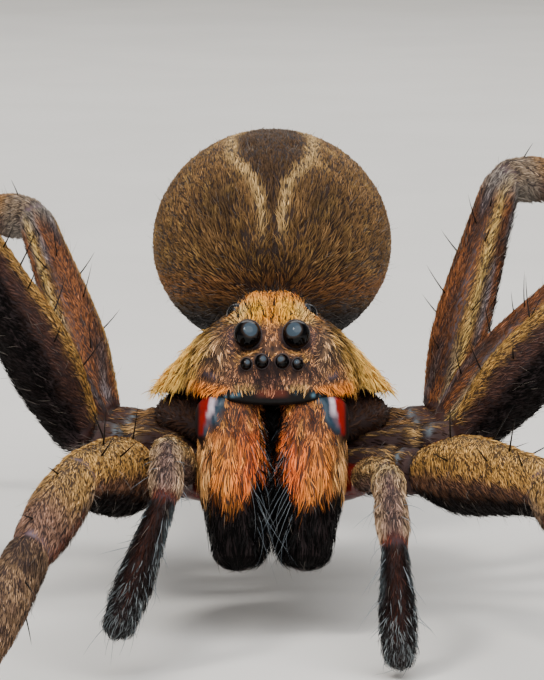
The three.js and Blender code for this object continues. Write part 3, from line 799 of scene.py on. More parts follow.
def palp(side_name):
    mirror = np.array([SIDES[side_name], 1, 1])
    s = limb(
        [np.array(joint) * mirror for joint in PALP_JOINTS[side_name]],
        PALP_HALF_HEIGHTS, [0.88, 1, 1, 1], [0.1, 0, 0, 0], [0.45, 0.45, 0.45, 0.75],
        columns=28, spacing=0.12, back=(0, -1, 1), depth=0.14, rounding=0.4, dip=0.12,
    )
    femur, knee, shin, toe = (s.segment == i for i in range(4))
    d, share = s.dorsal, s.share
    outer = np.abs(s.side)
    fine = ripple(s.points, 0.25, 31)
    streak = ripple(vectors(d, s.side, 0.15 * s.station), 0.3, 33)
    colour = paint(
        s.colour,
        ("84695c", 1),
        ("4a3836", np.clip(0.5 + 0.6 * fine + 0.8 * streak, 0, 1) * 0.8),
        ("c9a56c", 0.8 * np.where(femur, smoothstep(d, -0.2, 0.5), 0)),
        ("c0a07a", 0.75 * np.where(knee, smoothstep(outer, 0.1, 0.6), 0)),
        ("b89a78", 0.6 * np.where(shin, smoothstep(outer, 0.3, 0.8), 0)),
        ("d3b27c", 0.8 * np.where(knee, fade(share, 0.25, 0.55), 0)),
        ("5a2013", 0.9 * np.where(shin, smoothstep(share, 0.84, 0.95), 0)),
    )
    dark = paint(
        colour,
        ("140e0d", 1),
        ("3a1f18", 0.7 * bell(s.side, 0, 0.35) * smoothstep(d, 0, 0.5)),
        ("4c5559", 0.5 * smoothstep(outer, 0.6, 0.9) * fade(share, 0.3, 0.6)),
        ("1f1f20", 0.8 * smoothstep(share + 0.15 * fine, 0.7, 0.9)),
    )
    s.colour = np.where(toe[..., None], dark, colour)
    grey = linear("9aa0a2") - s.colour
    s.tip = s.colour * 1.3 + grey * (toe * smoothstep(share, 0.5, 0.9))[..., None] * 0.45
    s.lie = s.along + 0.15 * s.downwards
    band = shin * smoothstep(share, 0.86, 0.96)
    s.length = np.where(toe, 0.4, 0.42) - 0.2 * band
    s.all_over(width=0.034)
    s.lift = np.where(toe, 15 + 16 * share, 14)
    s.clump = np.where(toe, 0.15, 0.3)
    s.bare = np.maximum(smoothstep(s.waist, 0.6, 0.95) * 0.45, 0.5 * band)
    s.skin = paint(s.colour, ("4f3136", 1), ("43120a", band))
    s.gloss = 0.4 * s.bare
    return s.finished()


def chelicera(side_name):
    side = SIDES[side_name]
    mirror = np.array([side, 1, 1])
    half_width, half_depth = CHELICERA["half"]
    s = limb(
        [np.array(CHELICERA["hinge"]) * mirror, np.array(CHELICERA["tip"]) * mirror],
        [[share * half_depth for share in (0.9, 1, 0.72)]],
        [half_width / half_depth], [0.25], [0.45],
        columns=64, spacing=0.09, back=(0, -1, 0), depth=0.2, cap=0.5,
    )
    x, y, z = np.moveaxis(s.points, -1, 0)
    a = x * side
    fine = ripple(s.points, 0.3, 41)
    broad = ripple(s.points, 0.9, 42)
    lock = ripple(vectors(x, 0.6 * y, 0.16 * z), 0.15, 43)
    facing_in = smoothstep(-s.normals[..., 0] * side, 0.3, 0.85)
    s.points = s.points + s.normals * (0.13 * facing_in)[..., None]
    colour = paint(
        s.colour,
        # orange, redder inwards, paler at the outer side, brown at the top, in fine locks
        ("dd8238", 1),
        ("f06e30", 0.85 * smoothstep(1.7 - a + 0.35 * broad, 0.1, 0.9)),
        ("d3a066", smoothstep(a + 0.2 * fine, 2.1, 2.6)),
        ("835030", 0.9 * smoothstep(z + 0.2 * fine, 7.9, 8.5)),
        ("f2a650", 0.5 * smoothstep(fine, 0.1, 0.6)),
        ("6d3b25", 0.55 * smoothstep(-fine, 0.25, 0.7)),
        ("35120a", 0.85 * smoothstep(lock, 0.1, 0.4)),
    )
    # black towards the tip, along the inner side and behind
    black_below = 6.05 + 0.25 * broad
    black_within = 0.3 + 0.85 * fade(z, 5.6, 7.2) + 0.08 * broad
    black = fade(z + 0.35 * fine, black_below - 0.25, black_below + 0.3)
    inner = fade(a - black_within, -0.12, 0.12)
    behind = smoothstep(s.normals[..., 1], 0.1, 0.5)
    black = np.clip(black + inner + behind, 0, 1)
    s.colour = paint(colour * 1.25, ("040303", black))
    s.tip = s.colour * 1.4
    outwards = side * (0.08 + 0.25 * smoothstep(a, 1.6, 2.8)
                       - 0.65 * facing_in * fade(z, 4.5, 6))
    s.lie = s.along + vectors(outwards, 0, 0)
    s.length = 0.62 - 0.32 * smoothstep(z, 7.5, 8.5) - 0.12 * fade(z, 3.4, 4.6)
    s.width = 0.032 - 0.006 * smoothstep(z, 7.5, 8.5)
    s.lift = 12 + 4 * broad + 8 * facing_in + 5 * black
    s.all_over(clump=0.28, wave=0.02)
    # the smooth upper corner: slate blue, a pale band and the red boss at the outer edge
    fall = 8.95 - z  # the patches narrow outwards as they go down
    smooth_from = 8.45 - 0.5 * smoothstep(a, 2.35, 2.6) + 0.2 * fine
    patch = (smoothstep(z, smooth_from - 0.15, smooth_from + 0.1)
             * smoothstep(a - 0.35 * fall + 0.1 * fine, 1.9, 2.02) * (1 - behind))
    s.points = s.points + s.normals * (0.16 * patch)[..., None]
    s.bare = patch
    # the pale band: partly its own colour, partly a painted highlight that is brightest at the top
    pale_band_and_highlight = smoothstep(a - 0.2 * fall + 0.05 * fine, 2.18, 2.28)
    skin = paint(
        s.colour * 0,
        ("1d303d", 1),
        ("55464f", pale_band_and_highlight * smoothstep(z, 8.2, 8.5)),
        ("b9aab4", pale_band_and_highlight * smoothstep(z + 0.1 * fine, 8.62, 8.95)),
        ("7c0400", smoothstep(a - 0.2 * fall, 2.38, 2.45)),
        ("0c0202", np.maximum(smoothstep(a, 2.66, 2.78), smoothstep(fall, 0.75, 1.0))),
    )
    s.skin = skin
    s.gloss = patch * (0.7 - 0.6 * smoothstep(a, 2.3, 2.45))
    return s.finished()


def stalk(joints, radii, colour, bare=1.0, gloss=0.3, **options):
    """A short plain limb of skin, such as the pedicel or a spinneret."""
    settings = dict(columns=20, spacing=0.1, back=(0, 0, 1), depth=0.05, rounding=0.3, dip=0.0)
    settings.update(options)
    count = len(radii)
    s = limb(joints, radii, [1] * count, [0] * count, [0.45] * count, **settings)
    s.colour = paint(s.colour, (colour, 1))
    s.skin = s.colour
    s.all_over(bare=bare, gloss=gloss)
    s.lie = s.along
    return s.finished()


SPINNERETS = {
    "mound": (0, 26.6, 10.9),
    "mound_radius": 0.95,
    "pairs": ((0.5, -0.45, 1.25), (0.55, 0.4, 1.5)),
    "radii": (0.42, 0.4, 0.28),
}


def spinnerets():
    _, y0, z0 = SPINNERETS["mound"]
    radius = SPINNERETS["mound_radius"] - 0.1
    pieces = [egg(SPINNERETS["mound"], (radius,) * 3, "4a3a30", 24, 32, bare=0.4)]
    for side in SIDES.values():
        for x, rise, reach in SPINNERETS["pairs"]:
            root = (x * side * 0.8, y0, z0 + rise)
            end = (x * side * 1.15, y0 + reach, z0 + rise - 0.2)
            pieces.append(stalk([root, end], [SPINNERETS["radii"]], "6a5240", bare=0.5, columns=16))
    return pieces


# ---------------------------------------------------------------- meshes

WHOLE = (0, 1, 0, 1)  # a surface or piece that has the whole unwrap to itself

def link(name, data):
    thing = bpy.data.objects.new(name, data)
    bpy.context.scene.collection.objects.link(thing)
    return thing


def new_piece(name, mesh, material, replaced=()):
    mesh.shade_smooth()
    mesh.materials.append(material)
    piece = link(name, mesh)
    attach(piece, "root")
    if replaced:
        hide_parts(*replaced)
    return piece


def new_mesh(name, points, faces):
    mesh = bpy.data.meshes.new(name)
    mesh.from_pydata(place(points).tolist(), [], faces)
    return mesh


def set_colours(mesh, name, values):
    layer = mesh.attributes.new(name, "FLOAT_COLOR", "POINT")
    layer.data.foreach_set("color", np.concatenate([values, np.ones((len(values), 1))], 1).ravel())


def set_values(mesh, name, values):
    layer = mesh.attributes.new(name, "FLOAT", "POINT")
    layer.data.foreach_set("value", np.asarray(values, np.float32).ravel())


def surface_mesh(surface, cell):
    """A surface's corners, faces, unwraps and values. cell is its part of the common unwrap."""
    rings, columns = surface.points.shape[:2]
    corners = np.concatenate([surface.points.reshape(-1, 3), np.array(surface.poles, float)])
    i, j = np.meshgrid(np.arange(rings - 1), np.arange(columns), indexing="ij")
    i, j = i.ravel(), j.ravel()
    right = (j + 1) % columns
    quads = np.stack([i * columns + j, i * columns + right, (i + 1) * columns + right,
                      (i + 1) * columns + j], 1)
    length = np.linalg.norm(np.diff(surface.points, axis=0), axis=-1).mean(1)
    station = np.concatenate([[0], np.cumsum(length)])
    girth = np.linalg.norm(np.roll(surface.points, -1, 1) - surface.points, axis=-1).sum(1).max()
    u = np.stack([j, j + 1, j + 1, j], 1) / columns
    v = np.stack([station[i], station[i], station[i + 1], station[i + 1]], 1)
    column = np.arange(columns)
    wrapped = (column + 1) % columns
    first, last = rings * columns, rings * columns + 1
    start = np.stack([wrapped, column, np.full(columns, first)], 1)
    base = (rings - 1) * columns
    end = np.stack([base + column, base + wrapped, np.full(columns, last)], 1)
    cap_u = np.stack([column + 1, column, column + 0.5], 1) / columns
    end_u = np.stack([column, column + 1, column + 0.5], 1) / columns
    start_v = np.zeros((columns, 3))
    end_v = np.full((columns, 3), station[-1])
    faces = [quads, start, end]
    us, vs = [u, cap_u, end_u], [v, start_v, end_v]
    if surface.turned:
        faces = [f[:, ::-1] for f in faces]
        us, vs = [f[:, ::-1] for f in us], [f[:, ::-1] for f in vs]
    u0, u1, v0, v1 = cell
    unwraps = [np.stack([u0 + (u1 - u0) * a, v0 + (v1 - v0) * b / station[-1]], -1)
               for a, b in zip(us, vs)]
    grains = [np.stack([a * girth, b], -1) for a, b in zip(us, vs)]

    def with_poles(values):
        flat = values.reshape(rings * columns, -1)
        return np.concatenate([flat, values[0].mean(0, keepdims=True).reshape(1, -1),
                               values[-1].mean(0, keepdims=True).reshape(1, -1)])

    values = [with_poles(layer) for layer in
              (surface.skin, surface.gloss[..., None], surface.bare[..., None])]
    return corners, faces, unwraps, grains, values


def surface_faces(parts):
    return [face for part in parts for face in part.tolist()]


def skin_piece(name, placed, material, replaced):
    """One piece made of several surfaces, each with its own part of the unwrap."""
    corners, faces, unwraps, grains, colours, gloss, bare = [], [], [], [], [], [], []
    offset = 0
    for surface, cell in placed:
        points, parts, unwrap, grain, (colour, shine, bald) = surface_mesh(surface, cell)
        corners.append(points)
        faces += surface_faces([part + offset for part in parts])
        unwraps += [part.reshape(-1, 2) for part in unwrap]
        grains += [part.reshape(-1, 2) for part in grain]
        colours.append(colour)
        gloss.append(shine)
        bare.append(bald)
        offset += len(points)
    mesh = new_mesh(name, np.concatenate(corners), faces)
    for layer_name, values in (("OFBake", unwraps), ("grain", grains)):
        layer = mesh.uv_layers.new(name=layer_name)
        layer.data.foreach_set("uv", np.concatenate(values).ravel())
    set_colours(mesh, "marking", np.clip(np.concatenate(colours), 0, 1))
    set_values(mesh, "gloss", np.concatenate(gloss))
    set_values(mesh, "bare", np.concatenate(bare))
    return new_piece(name, mesh, material, replaced)


# ---------------------------------------------------------------- coat

PATCH = 0.003  # size of one tuft's patch on the unwrap
HAIR_FILL = 0.6  # a hair's area as a share of its length times its width
ROOT_DEPTH = 0.02
TIP_BEND = 1.26  # how much of its lift a hair has lost at its tip; past 1 it points down again


class Tuft:
    """How a thin pointed tuft is cut: its width, darkness and place on its patch at each joint."""

    def __init__(self, breadths, painted_root_shade):
        self.breadths = breadths  # shares of the width, from the root up to just below the tip
        # darker towards the root: painted shade deep in the coat
        self.painted_root_shade = painted_root_shade
        self.joints = len(breadths)
        self.corners = 2 * self.joints + 1
        faces, patch = [], []
        for k in range(self.joints - 1):
            a = 2 * k
            faces += [[a, a + 1, a + 3], [a, a + 3, a + 2]]
        faces.append([self.corners - 3, self.corners - 2, self.corners - 1])
        for k in range(self.joints):
            patch += [[0, k / self.joints], [1, k / self.joints]]
        self.faces = np.array(faces)
        self.patch = np.array(patch + [[0.5, 1]]) * PATCH


LONG_TUFT = Tuft((0.75, 1.0, 0.72), (0.3, 0.75, 1.0))
SHORT_TUFT = Tuft((0.85, 0.95), (0.35, 0.95))


def pick_roots(surface, per_square_mm, rng):
    """Random places on a surface, as fractional rings and columns."""
    p = surface.points
    right = np.roll(p, -1, 1)
    area = np.linalg.norm(np.cross(right[:-1] - p[:-1], p[1:] - p[:-1]), axis=-1)
    weight = per_square_mm * (1 - surface.bare)
    beside = np.roll(weight, -1, 1)
    weight = (weight[:-1] + weight[1:] + beside[:-1] + beside[1:]) / 4
    heap = np.cumsum((area * weight).ravel())
    count = int(heap[-1])
    chosen = np.searchsorted(heap, rng.uniform(0, heap[-1], count))
    rings, columns = area.shape
    ring, column = np.divmod(np.minimum(chosen, rings * columns - 1), columns)
    return ring + rng.uniform(size=count), column + rng.uniform(size=count)


def at_places(values, ring, column):
    """The values of a ring-by-column array at fractional rings and columns."""
    rings, columns = values.shape[:2]
    ring = np.clip(ring, 0, rings - 1.001)
    i, j = ring.astype(int), np.floor(column).astype(int)
    s, t = ring - i, column - j
    if values.ndim == 3:
        s, t = s[:, None], t[:, None]
    j, right = j % columns, (j + 1) % columns
    near = values[i, j] * (1 - t) + values[i, right] * t
    far = values[i + 1, j] * (1 - t) + values[i + 1, right] * t
    return near * (1 - s) + far * s


def hairs(surface, layers, seed, cut=LONG_TUFT, where=1.0, window=WHOLE, stray=0.14, tone=0.24):
    """Corners, unwraps and colours of a coat of tufts that lie along the skin.

    layers is how many hairs lie over each other on average, and window the share of the surface,
    around and along, that the unwrap shows.
    """
    rng = np.random.default_rng(seed)
    hair_area = HAIR_FILL * surface.length * surface.width
    spot = pick_roots(surface, layers * surface.density * where / hair_area, rng)
    count = len(spot[0])
    root = at_places(surface.points, *spot)
    normal = unit(at_places(surface.normals, *spot))
    lie = at_places(np.asarray(surface.lie, float), *spot)
    lie = unit(lie - normal * dot(lie, normal))
    across = np.cross(normal, lie)
    sway = rng.normal(0, stray, count)[:, None]
    lie = lie * np.cos(sway) + across * np.sin(sway)
    across = np.cross(normal, lie)
    longer = np.clip(rng.normal(1, 0.22, count), 0.45, 1.6)
    wider = rng.uniform(0.65, 1.3, count)
    higher = np.clip(rng.normal(1, 0.35, count), 0.2, 2.2)
    length = (at_places(surface.length, *spot) * longer)[:, None]
    width = (at_places(surface.width, *spot) * wider)[:, None]
    lift = (np.radians(at_places(surface.lift, *spot)) * higher)[:, None]
    clump = at_places(surface.clump, *spot)[:, None]
    follow = at_places(surface.follow, *spot)[:, None]
    _, gather = ripple_and_slope(root, 0.42, seed + 1)
    gather = gather - normal * dot(gather, normal)
    bent = ripple(root, 0.7, seed + 2)
    wave = at_places(surface.wave, *spot)[:, None] * length
    phase = 5 * bent[:, None] + rng.normal(0, 0.6, (count, 1))

    # rings and columns that a hair crosses for each millimetre along its lie
    along = at_places(np.gradient(surface.points, axis=0), *spot)
    around = at_places((np.roll(surface.points, -1, 1) - np.roll(surface.points, 1, 1)) / 2, *spot)
    aa, bb, ab = dot(along, along), dot(around, around), dot(along, around)
    la, lb = dot(lie, along), dot(lie, around)
    area = np.maximum(aa * bb - ab * ab, 1e-9)
    furthest = surface.points.shape[1] / 6 / length
    per_ring = (la * bb - lb * ab) / area
    per_column = np.clip((lb * aa - la * ab) / area, -furthest, furthest)

    twist = rng.normal(0, 0.5, count)[:, None]
    flat = (across * np.cos(twist) + normal * np.sin(twist)) * width / 2
    forward, height = 0 * length, 0 * length - ROOT_DEPTH
    last_ring = surface.points.shape[0] - 1.001
    spots = []
    for step in range(cut.joints + 1):
        share = step / cut.joints
        ring = spot[0][:, None] + per_ring * forward
        kept = np.clip(ring, 0, last_ring)
        past = (ring - kept) / np.where(np.abs(per_ring) > 1e-6, per_ring, 1)
        place_on = (kept[:, 0], spot[1] + (per_column * forward)[:, 0])
        on_skin = at_places(surface.points, *place_on) + lie * past
        straight = root + lie * forward
        up = unit(at_places(surface.normals, *place_on) * follow + normal * (1 - follow))
        middle = straight + (on_skin - straight) * follow + up * height
        middle = middle + across * wave * (np.sin(phase + share * 4.5) - np.sin(phase))
        middle = middle + gather * clump * length * share ** 2
        if step < cut.joints:
            spots += [middle - flat * cut.breadths[step], middle + flat * cut.breadths[step]]
        else:
            spots.append(middle)
        angle = lift * (1 - TIP_BEND * share)
        forward = forward + np.cos(angle) * length / cut.joints
        height = height + np.sin(angle) * length / cut.joints
    corners = np.stack(spots, 1)
    corners[..., 2] = np.maximum(corners[..., 2], GROUND)

    shade = np.exp(rng.normal(0, tone, count))[:, None]
    base = at_places(surface.colour, *spot) * shade
    end = at_places(surface.tip, *spot) * shade
    # the colours darken towards each tuft's root: painted shade deep in the coat
    colours = np.stack([base * share for share in cut.painted_root_shade for _ in range(2)] + [end], 1)

    rings, columns = surface.points.shape[:2]
    u = (spot[1] / columns - window[0]) / (window[1] - window[0])
    v = (spot[0] / rings - window[2]) / (window[3] - window[2])
    roots = np.clip(np.stack([u, v], 1), 0, 1 - PATCH)
    return corners, roots[:, None, :] + cut.patch, colours, cut


def coat_piece(name, batches, material):
    """One mesh of all the batches of tufts."""
    corners, unwraps, colours, faces, start = [], [], [], [], 0
    for points, unwrap, colour, cut in batches:
        corners.append(points.reshape(-1, 3))
        unwraps.append(unwrap.reshape(-1, 2))
        colours.append(colour.reshape(-1, 3))
        first = start + np.arange(len(points)) * cut.corners
        faces.append((first[:, None, None] + cut.faces).reshape(-1, 3))
        start += len(points) * cut.corners
    corners, unwraps, colours, faces = map(np.concatenate, (corners, unwraps, colours, faces))
    mesh = bpy.data.meshes.new(name)
    mesh.vertices.add(len(corners))
    mesh.vertices.foreach_set("co", place(corners).astype(np.float32).ravel())
    mesh.loops.add(faces.size)
    mesh.loops.foreach_set("vertex_index", faces.astype(np.int32).ravel())
    mesh.polygons.add(len(faces))
    mesh.polygons.foreach_set("loop_start", np.arange(0, faces.size, 3, dtype=np.int32))
    layer = mesh.uv_layers.new(name="OFBake")
    layer.data.foreach_set("uv", unwraps[faces.ravel()].astype(np.float32).ravel())
    set_colours(mesh, "marking", colours / np.maximum(1, colours.max(1, keepdims=True)))
    mesh.update(calc_edges=True)
    return new_piece(name, mesh, material)


def spikes(roots, directions, lengths, thicknesses, bends, sides=4, rings=4):
    """Corners and faces of curved pointed spikes."""
    count = len(roots)
    directions = unit(directions)
    helper = np.where(np.abs(directions[:, 2:]) < 0.9, [[0.0, 0.0, 1.0]], [[1.0, 0.0, 0.0]])
    one = unit(np.cross(directions, helper))
    two = np.cross(directions, one)
    angle = np.arange(sides) * 2 * math.pi / sides
    circle = (one[:, None, :] * np.cos(angle)[None, :, None]
              + two[:, None, :] * np.sin(angle)[None, :, None])
    layers = []
    for k in range(rings):
        share = k / rings
        centre = roots + directions * (lengths * share)[:, None]
        centre = centre + bends * (lengths * share ** 2)[:, None]
        radius = thicknesses / 2 * (1 - share) ** 0.7
        layers.append(centre[:, None, :] + circle * radius[:, None, None])
    tips = roots + directions * lengths[:, None] + bends * lengths[:, None]
    corners = np.concatenate(layers + [tips[:, None, :]], 1)
    faces = []
    for k in range(rings - 1):
        for j in range(sides):
            a, b = k * sides + j, k * sides + (j + 1) % sides
            faces += [[a, b, b + sides], [a, b + sides, a + sides]]
    top = (rings - 1) * sides
    faces += [[top + j, top + (j + 1) % sides, rings * sides] for j in range(sides)]
    faces += [[0, j + 1, j] for j in range(1, sides - 1)]
    step = rings * sides + 1
    faces = np.arange(count)[:, None, None] * step + np.array(faces)
    return corners.reshape(-1, 3), faces.reshape(-1, 3)


def columns_of(rows):
    return [np.array(column) for column in zip(*rows)]


def joined_piece(name, batches, material):
    """One mesh of all the batches of corners and faces."""
    corners, faces, offset = [], [], 0
    for points, polygons in batches:
        corners.append(points)
        faces.append(polygons + offset)
        offset += len(points)
    mesh = new_mesh(name, np.concatenate(corners), np.concatenate(faces).tolist())
    return new_piece(name, mesh, material)


def on_limb(surface, part, share, angle):
    """The place, normal and direction of growth at a share of a segment and an angle in degrees."""
    miss = np.abs(surface.share[:, 0] - share) + 10 * (surface.segment[:, 0] != part)
    ring = int(np.argmin(miss))
    columns = surface.points.shape[1]
    column = int(round(angle / 360 * columns)) % columns
    return surface.points[ring, column], surface.normals[ring, column], surface.along[ring, column]


# ---------------------------------------------------------------- materials


class Shader:
    """A material's or a group's nodes, with short ways to add and join them."""

    def __init__(self, tree):
        self.tree = tree

    def join(self, source, target):
        self.tree.links.new(source, target)

    def add(self, kind, inputs=None, **settings):
        node = self.tree.nodes.new(kind)
        for key, value in settings.items():
            setattr(node, key, value)
        for key, value in (inputs or {}).items():
            if isinstance(value, bpy.types.NodeSocket):
                self.join(value, node.inputs[key])
            else:
                node.inputs[key].default_value = value
        return node

    def noise(self, scale, **settings):
        """Noise that stays on the piece, in its own metres."""
        place_in = self.add("ShaderNodeTexCoord")
        inputs = {"Vector": place_in.outputs["Object"], "Scale": scale, **settings}
        return self.add("ShaderNodeTexNoise", inputs).outputs["Fac"]

    def attribute(self, name, output="Fac"):
        return self.add("ShaderNodeAttribute", attribute_name=name).outputs[output]


def node_group(name, inputs, outputs):
    tree = bpy.data.node_groups.new(name, "ShaderNodeTree")
    for label, (kind, value) in inputs.items():
        socket = tree.interface.new_socket(label, in_out="INPUT", socket_type=kind)
        socket.default_value = value
    for label, kind in outputs.items():
        tree.interface.new_socket(label, in_out="OUTPUT", socket_type=kind)
    shader = Shader(tree)
    return tree, shader, shader.add("NodeGroupInput").outputs, shader.add("NodeGroupOutput")


def marked_colour_group():
    """The markings laid down on the mesh, brightened and dulled in fine grains."""
    tree, shader, given, result = node_group(
        "marked_colour",
        {"Grain Scale": ("NodeSocketFloat", 3000.0), "Grain Amount": ("NodeSocketFloat", 0.3)},
        {"Colour": "NodeSocketColor"},
    )
    marking = shader.attribute("marking", "Color")
    noise = shader.noise(given["Grain Scale"], Detail=2.0)
    spread = shader.add("ShaderNodeMapRange", {
        "Value": noise, "From Min": 0.3, "From Max": 0.7, "To Min": 0.55, "To Max": 1.5,
    })
    grained = shader.add("ShaderNodeVectorMath", {0: marking, 1: spread.outputs["Result"]},
                         operation="MULTIPLY")
    # the colour sockets of a Mix node are its fourth pair, the result its third output
    mixed = shader.add("ShaderNodeMix", {
        0: given["Grain Amount"], 6: marking, 7: grained.outputs["Vector"],
    }, data_type="RGBA")
    shader.join(mixed.outputs[2], result.inputs["Colour"])
    return tree


def combed_grain_group():
    """Fine ridges that run the way the short hair lies."""
    tree, shader, given, result = node_group(
        "combed_grain",
        {"Across": ("NodeSocketFloat", 14.0), "Along": ("NodeSocketFloat", 2.2)},
        {"Height": "NodeSocketFloat"},
    )
    unwrap = shader.add("ShaderNodeUVMap", uv_map="grain")
    scale = shader.add("ShaderNodeCombineXYZ", {
        "X": given["Across"], "Y": given["Along"], "Z": 1.0,
    })
    stretched = shader.add("ShaderNodeVectorMath", {
        0: unwrap.outputs["UV"], 1: scale.outputs["Vector"],
    }, operation="MULTIPLY")
    noise = shader.add("ShaderNodeTexNoise", {
        "Vector": stretched.outputs["Vector"], "Scale": 1.0, "Detail": 3.0, "Distortion": 0.4,
    })
    shader.join(noise.outputs["Fac"], result.inputs["Height"])
    return tree


MARKED_COLOUR = marked_colour_group()
COMBED_GRAIN = combed_grain_group()


def new_material(name, **constants):
    material = bpy.data.materials.new(name)
    material.use_nodes = True
    tree = material.node_tree
    principled = tree.nodes["Principled BSDF"]
    for label, value in constants.items():
        principled.inputs[label.replace("_", " ")].default_value = value
    return material, Shader(tree), principled


def marked(shader, principled, grain_scale, grain_amount):
    """Lays the markings on the mesh into a material's colour."""
    colour = shader.add("ShaderNodeGroup", node_tree=MARKED_COLOUR)
    colour.inputs["Grain Scale"].default_value = grain_scale
    colour.inputs["Grain Amount"].default_value = grain_amount
    shader.join(colour.outputs["Colour"], principled.inputs["Base Color"])


def colour_ramp(shader, share, tones):
    """A ramp over a share from 0 to 1. tones are its positions and colours."""
    ramp = shader.add("ShaderNodeValToRGB", {"Fac": share})
    elements = ramp.color_ramp.elements
    while len(elements) < len(tones):
        elements.new(0.8)
    for element, (position, colour) in zip(elements, tones):
        element.color = (*linear(colour), 1)
        element.position = position
    return ramp.outputs["Color"]


def hair_material(name, roughness, sheen):
    material, shader, principled = new_material(
        name, Roughness=roughness, Sheen_Weight=sheen, Specular_IOR_Level=0.06)
    marked(shader, principled, 4000.0, 0.35)
    return material


def skin_material():
    material, shader, principled = new_material("skin_under_hair", Specular_IOR_Level=0.2)
    marked(shader, principled, 2500.0, 0.5)
    roughness = shader.add("ShaderNodeMapRange", {
        "Value": shader.attribute("gloss"), "To Min": 0.7, "To Max": 0.18,
    })
    shader.join(roughness.outputs["Result"], principled.inputs["Roughness"])
    grain = shader.add("ShaderNodeGroup", node_tree=COMBED_GRAIN)
    hairy = shader.add("ShaderNodeMapRange", {
        "Value": shader.attribute("bare"), "To Min": 1.0, "To Max": 0.15,
    })
    height = shader.add("ShaderNodeMath", {
        0: grain.outputs["Height"], 1: hairy.outputs["Result"],
    }, operation="MULTIPLY")
    bump = shader.add("ShaderNodeBump", {
        "Height": height.outputs["Value"], "Strength": 0.7, "Distance": 0.00005,
    })
    shader.join(bump.outputs["Normal"], principled.inputs["Normal"])
    return material


def eye_material():
    """Black glass with a painted slate-blue reflection where it looks up."""
    material, shader, principled = new_material(
        "eye_cornea", Roughness=0.05, IOR=1.33, Specular_IOR_Level=0.25)
    painted_reflection = shader.attribute("painted_reflection")
    clouded = shader.add("ShaderNodeMath", {
        0: shader.noise(2500.0, Detail=3.0), 1: 0.5, 2: painted_reflection,
    }, operation="MULTIPLY_ADD")
    # black, then brown, then slate blue as the painted reflection grows
    tones = ((0.3, "020203"), (0.8, "2c2420"), (1.0, "38444e"))
    colour = colour_ramp(shader, clouded.outputs["Value"], tones)
    shader.join(colour, principled.inputs["Base Color"])
    return material


def noisy_material(name, low, high, scale, roughness, distance=0.0, **constants):
    """A colour that wanders between two, over bumps of the same pattern."""
    material, shader, principled = new_material(name, Roughness=roughness, **constants)
    noise = shader.noise(scale, Detail=4.0)
    colour = colour_ramp(shader, noise, ((0.35, low), (0.65, high)))
    shader.join(colour, principled.inputs["Base Color"])
    if distance:
        bump = shader.add("ShaderNodeBump", {
            "Height": noise, "Distance": distance, "Strength": 0.5,
        })
        shader.join(bump.outputs["Normal"], principled.inputs["Normal"])
    return material


SKIN = skin_material()
COMBED_HAIR = hair_material("combed_hair", 0.45, 0.0)
VELVET_HAIR = hair_material("velvet_hair", 0.6, 0.04)
BLACK_SPINE = noisy_material("black_spine", "070505", "120d0c", 1500, 0.5, Specular_IOR_Level=0.2)
PALE_BRISTLE = noisy_material("pale_bristle", "5f6b75", "8a9196", 1500, 0.4)
DULL_BRISTLE = noisy_material("dull_bristle", "5b534d", "8a8075", 1500, 0.5)
EYE = eye_material()
EYE_RIM = noisy_material("eye_rim", "171011", "33272a", 2200, 0.6, distance=0.00001)
FANG = noisy_material("fang_horn", "120605", "3a0f08", 900, 0.14, Coat_Weight=0.5)
MOUTH_SHELL = noisy_material("mouth_shell", "2a0806", "5c140b", 700, 0.22, distance=0.00002)

# ---------------------------------------------------------------- building the animal

FLESH = {f"{pair}_{side}": leg(pair, side) for pair in SEGMENT_LENGTHS for side in SIDES}
FLESH.update({f"palp_{side}": palp(side) for side in SIDES})
FLESH.update({f"chelicera_{side}": chelicera(side) for side in SIDES})
FLESH.update(
    carapace=carapace(),
    abdomen=abdomen(),
    sternum=sternum(),
    throat=egg((0, 2.9, 7.8), (2.6, 2.6, 2.1), "040303", gloss=0.0),
    pleura=egg((0, 6.2, 7.8), (4.75, 4.8, 1.35), "35231a", bare=0.15, gloss=0.1),
)
LEGS = {name: surface for name, surface in FLESH.items() if name.startswith("leg_")}
HARD_PARTS = ("eye_", "fang_", "endite_", "labium")


def build_skin():
    # each surface's part of the unwrap: from and to across, from and to upwards
    cells = {
        "carapace": (0.5, 1, 0, 0.32),
        "abdomen": (0.5, 1, 0.32, 0.64),
        "sternum": (0.5, 0.62, 0.64, 0.76),
    }
    for column, name in enumerate(LEGS):
        cells[name] = (column * 0.0625, (column + 1) * 0.0625, 0, 1)
    for column, side in enumerate(SIDES):
        cells[f"chelicera_{side}"] = (0.64 + column * 0.12, 0.76 + column * 0.12, 0.64, 0.8)
        cells[f"palp_{side}"] = (0.5 + column * 0.07, 0.57 + column * 0.07, 0.8, 1)
    placed = [(FLESH[name], cell) for name, cell in cells.items()]
    pedicel = stalk([(0, 10.4, 8.0), (0, 13.6, 10.5)], [(0.8, 0.72, 0.8)], "3f302c", gloss=0.25)
    small = [pedicel, FLESH["throat"], FLESH["pleura"], *spinnerets()]
    for index, surface in enumerate(small):
        placed.append((surface, (0.66 + 0.04 * index, 0.695 + 0.04 * index, 0.82, 0.98)))
    replaced = [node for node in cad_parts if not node.startswith(HARD_PARTS)]
    return skin_piece("skin", placed, SKIN, replaced)


# The unwrap of a piece that is one half of a pair, and of the face, the thorax and the abdomen's
# upper and lower halves: from and to around, from and to along.
HALVES = {"left": (0, 2, 0, 1), "right": (-1, 1, 0, 1)}
FACE_WINDOW, THORAX_WINDOW = (0, 0.75, 0, 0.6), (0, 0.75, 0.3, 1)
UPPER_WINDOW, LOWER_WINDOW = (0, 0.5, 0, 1), (0.5, 1, 0, 1)


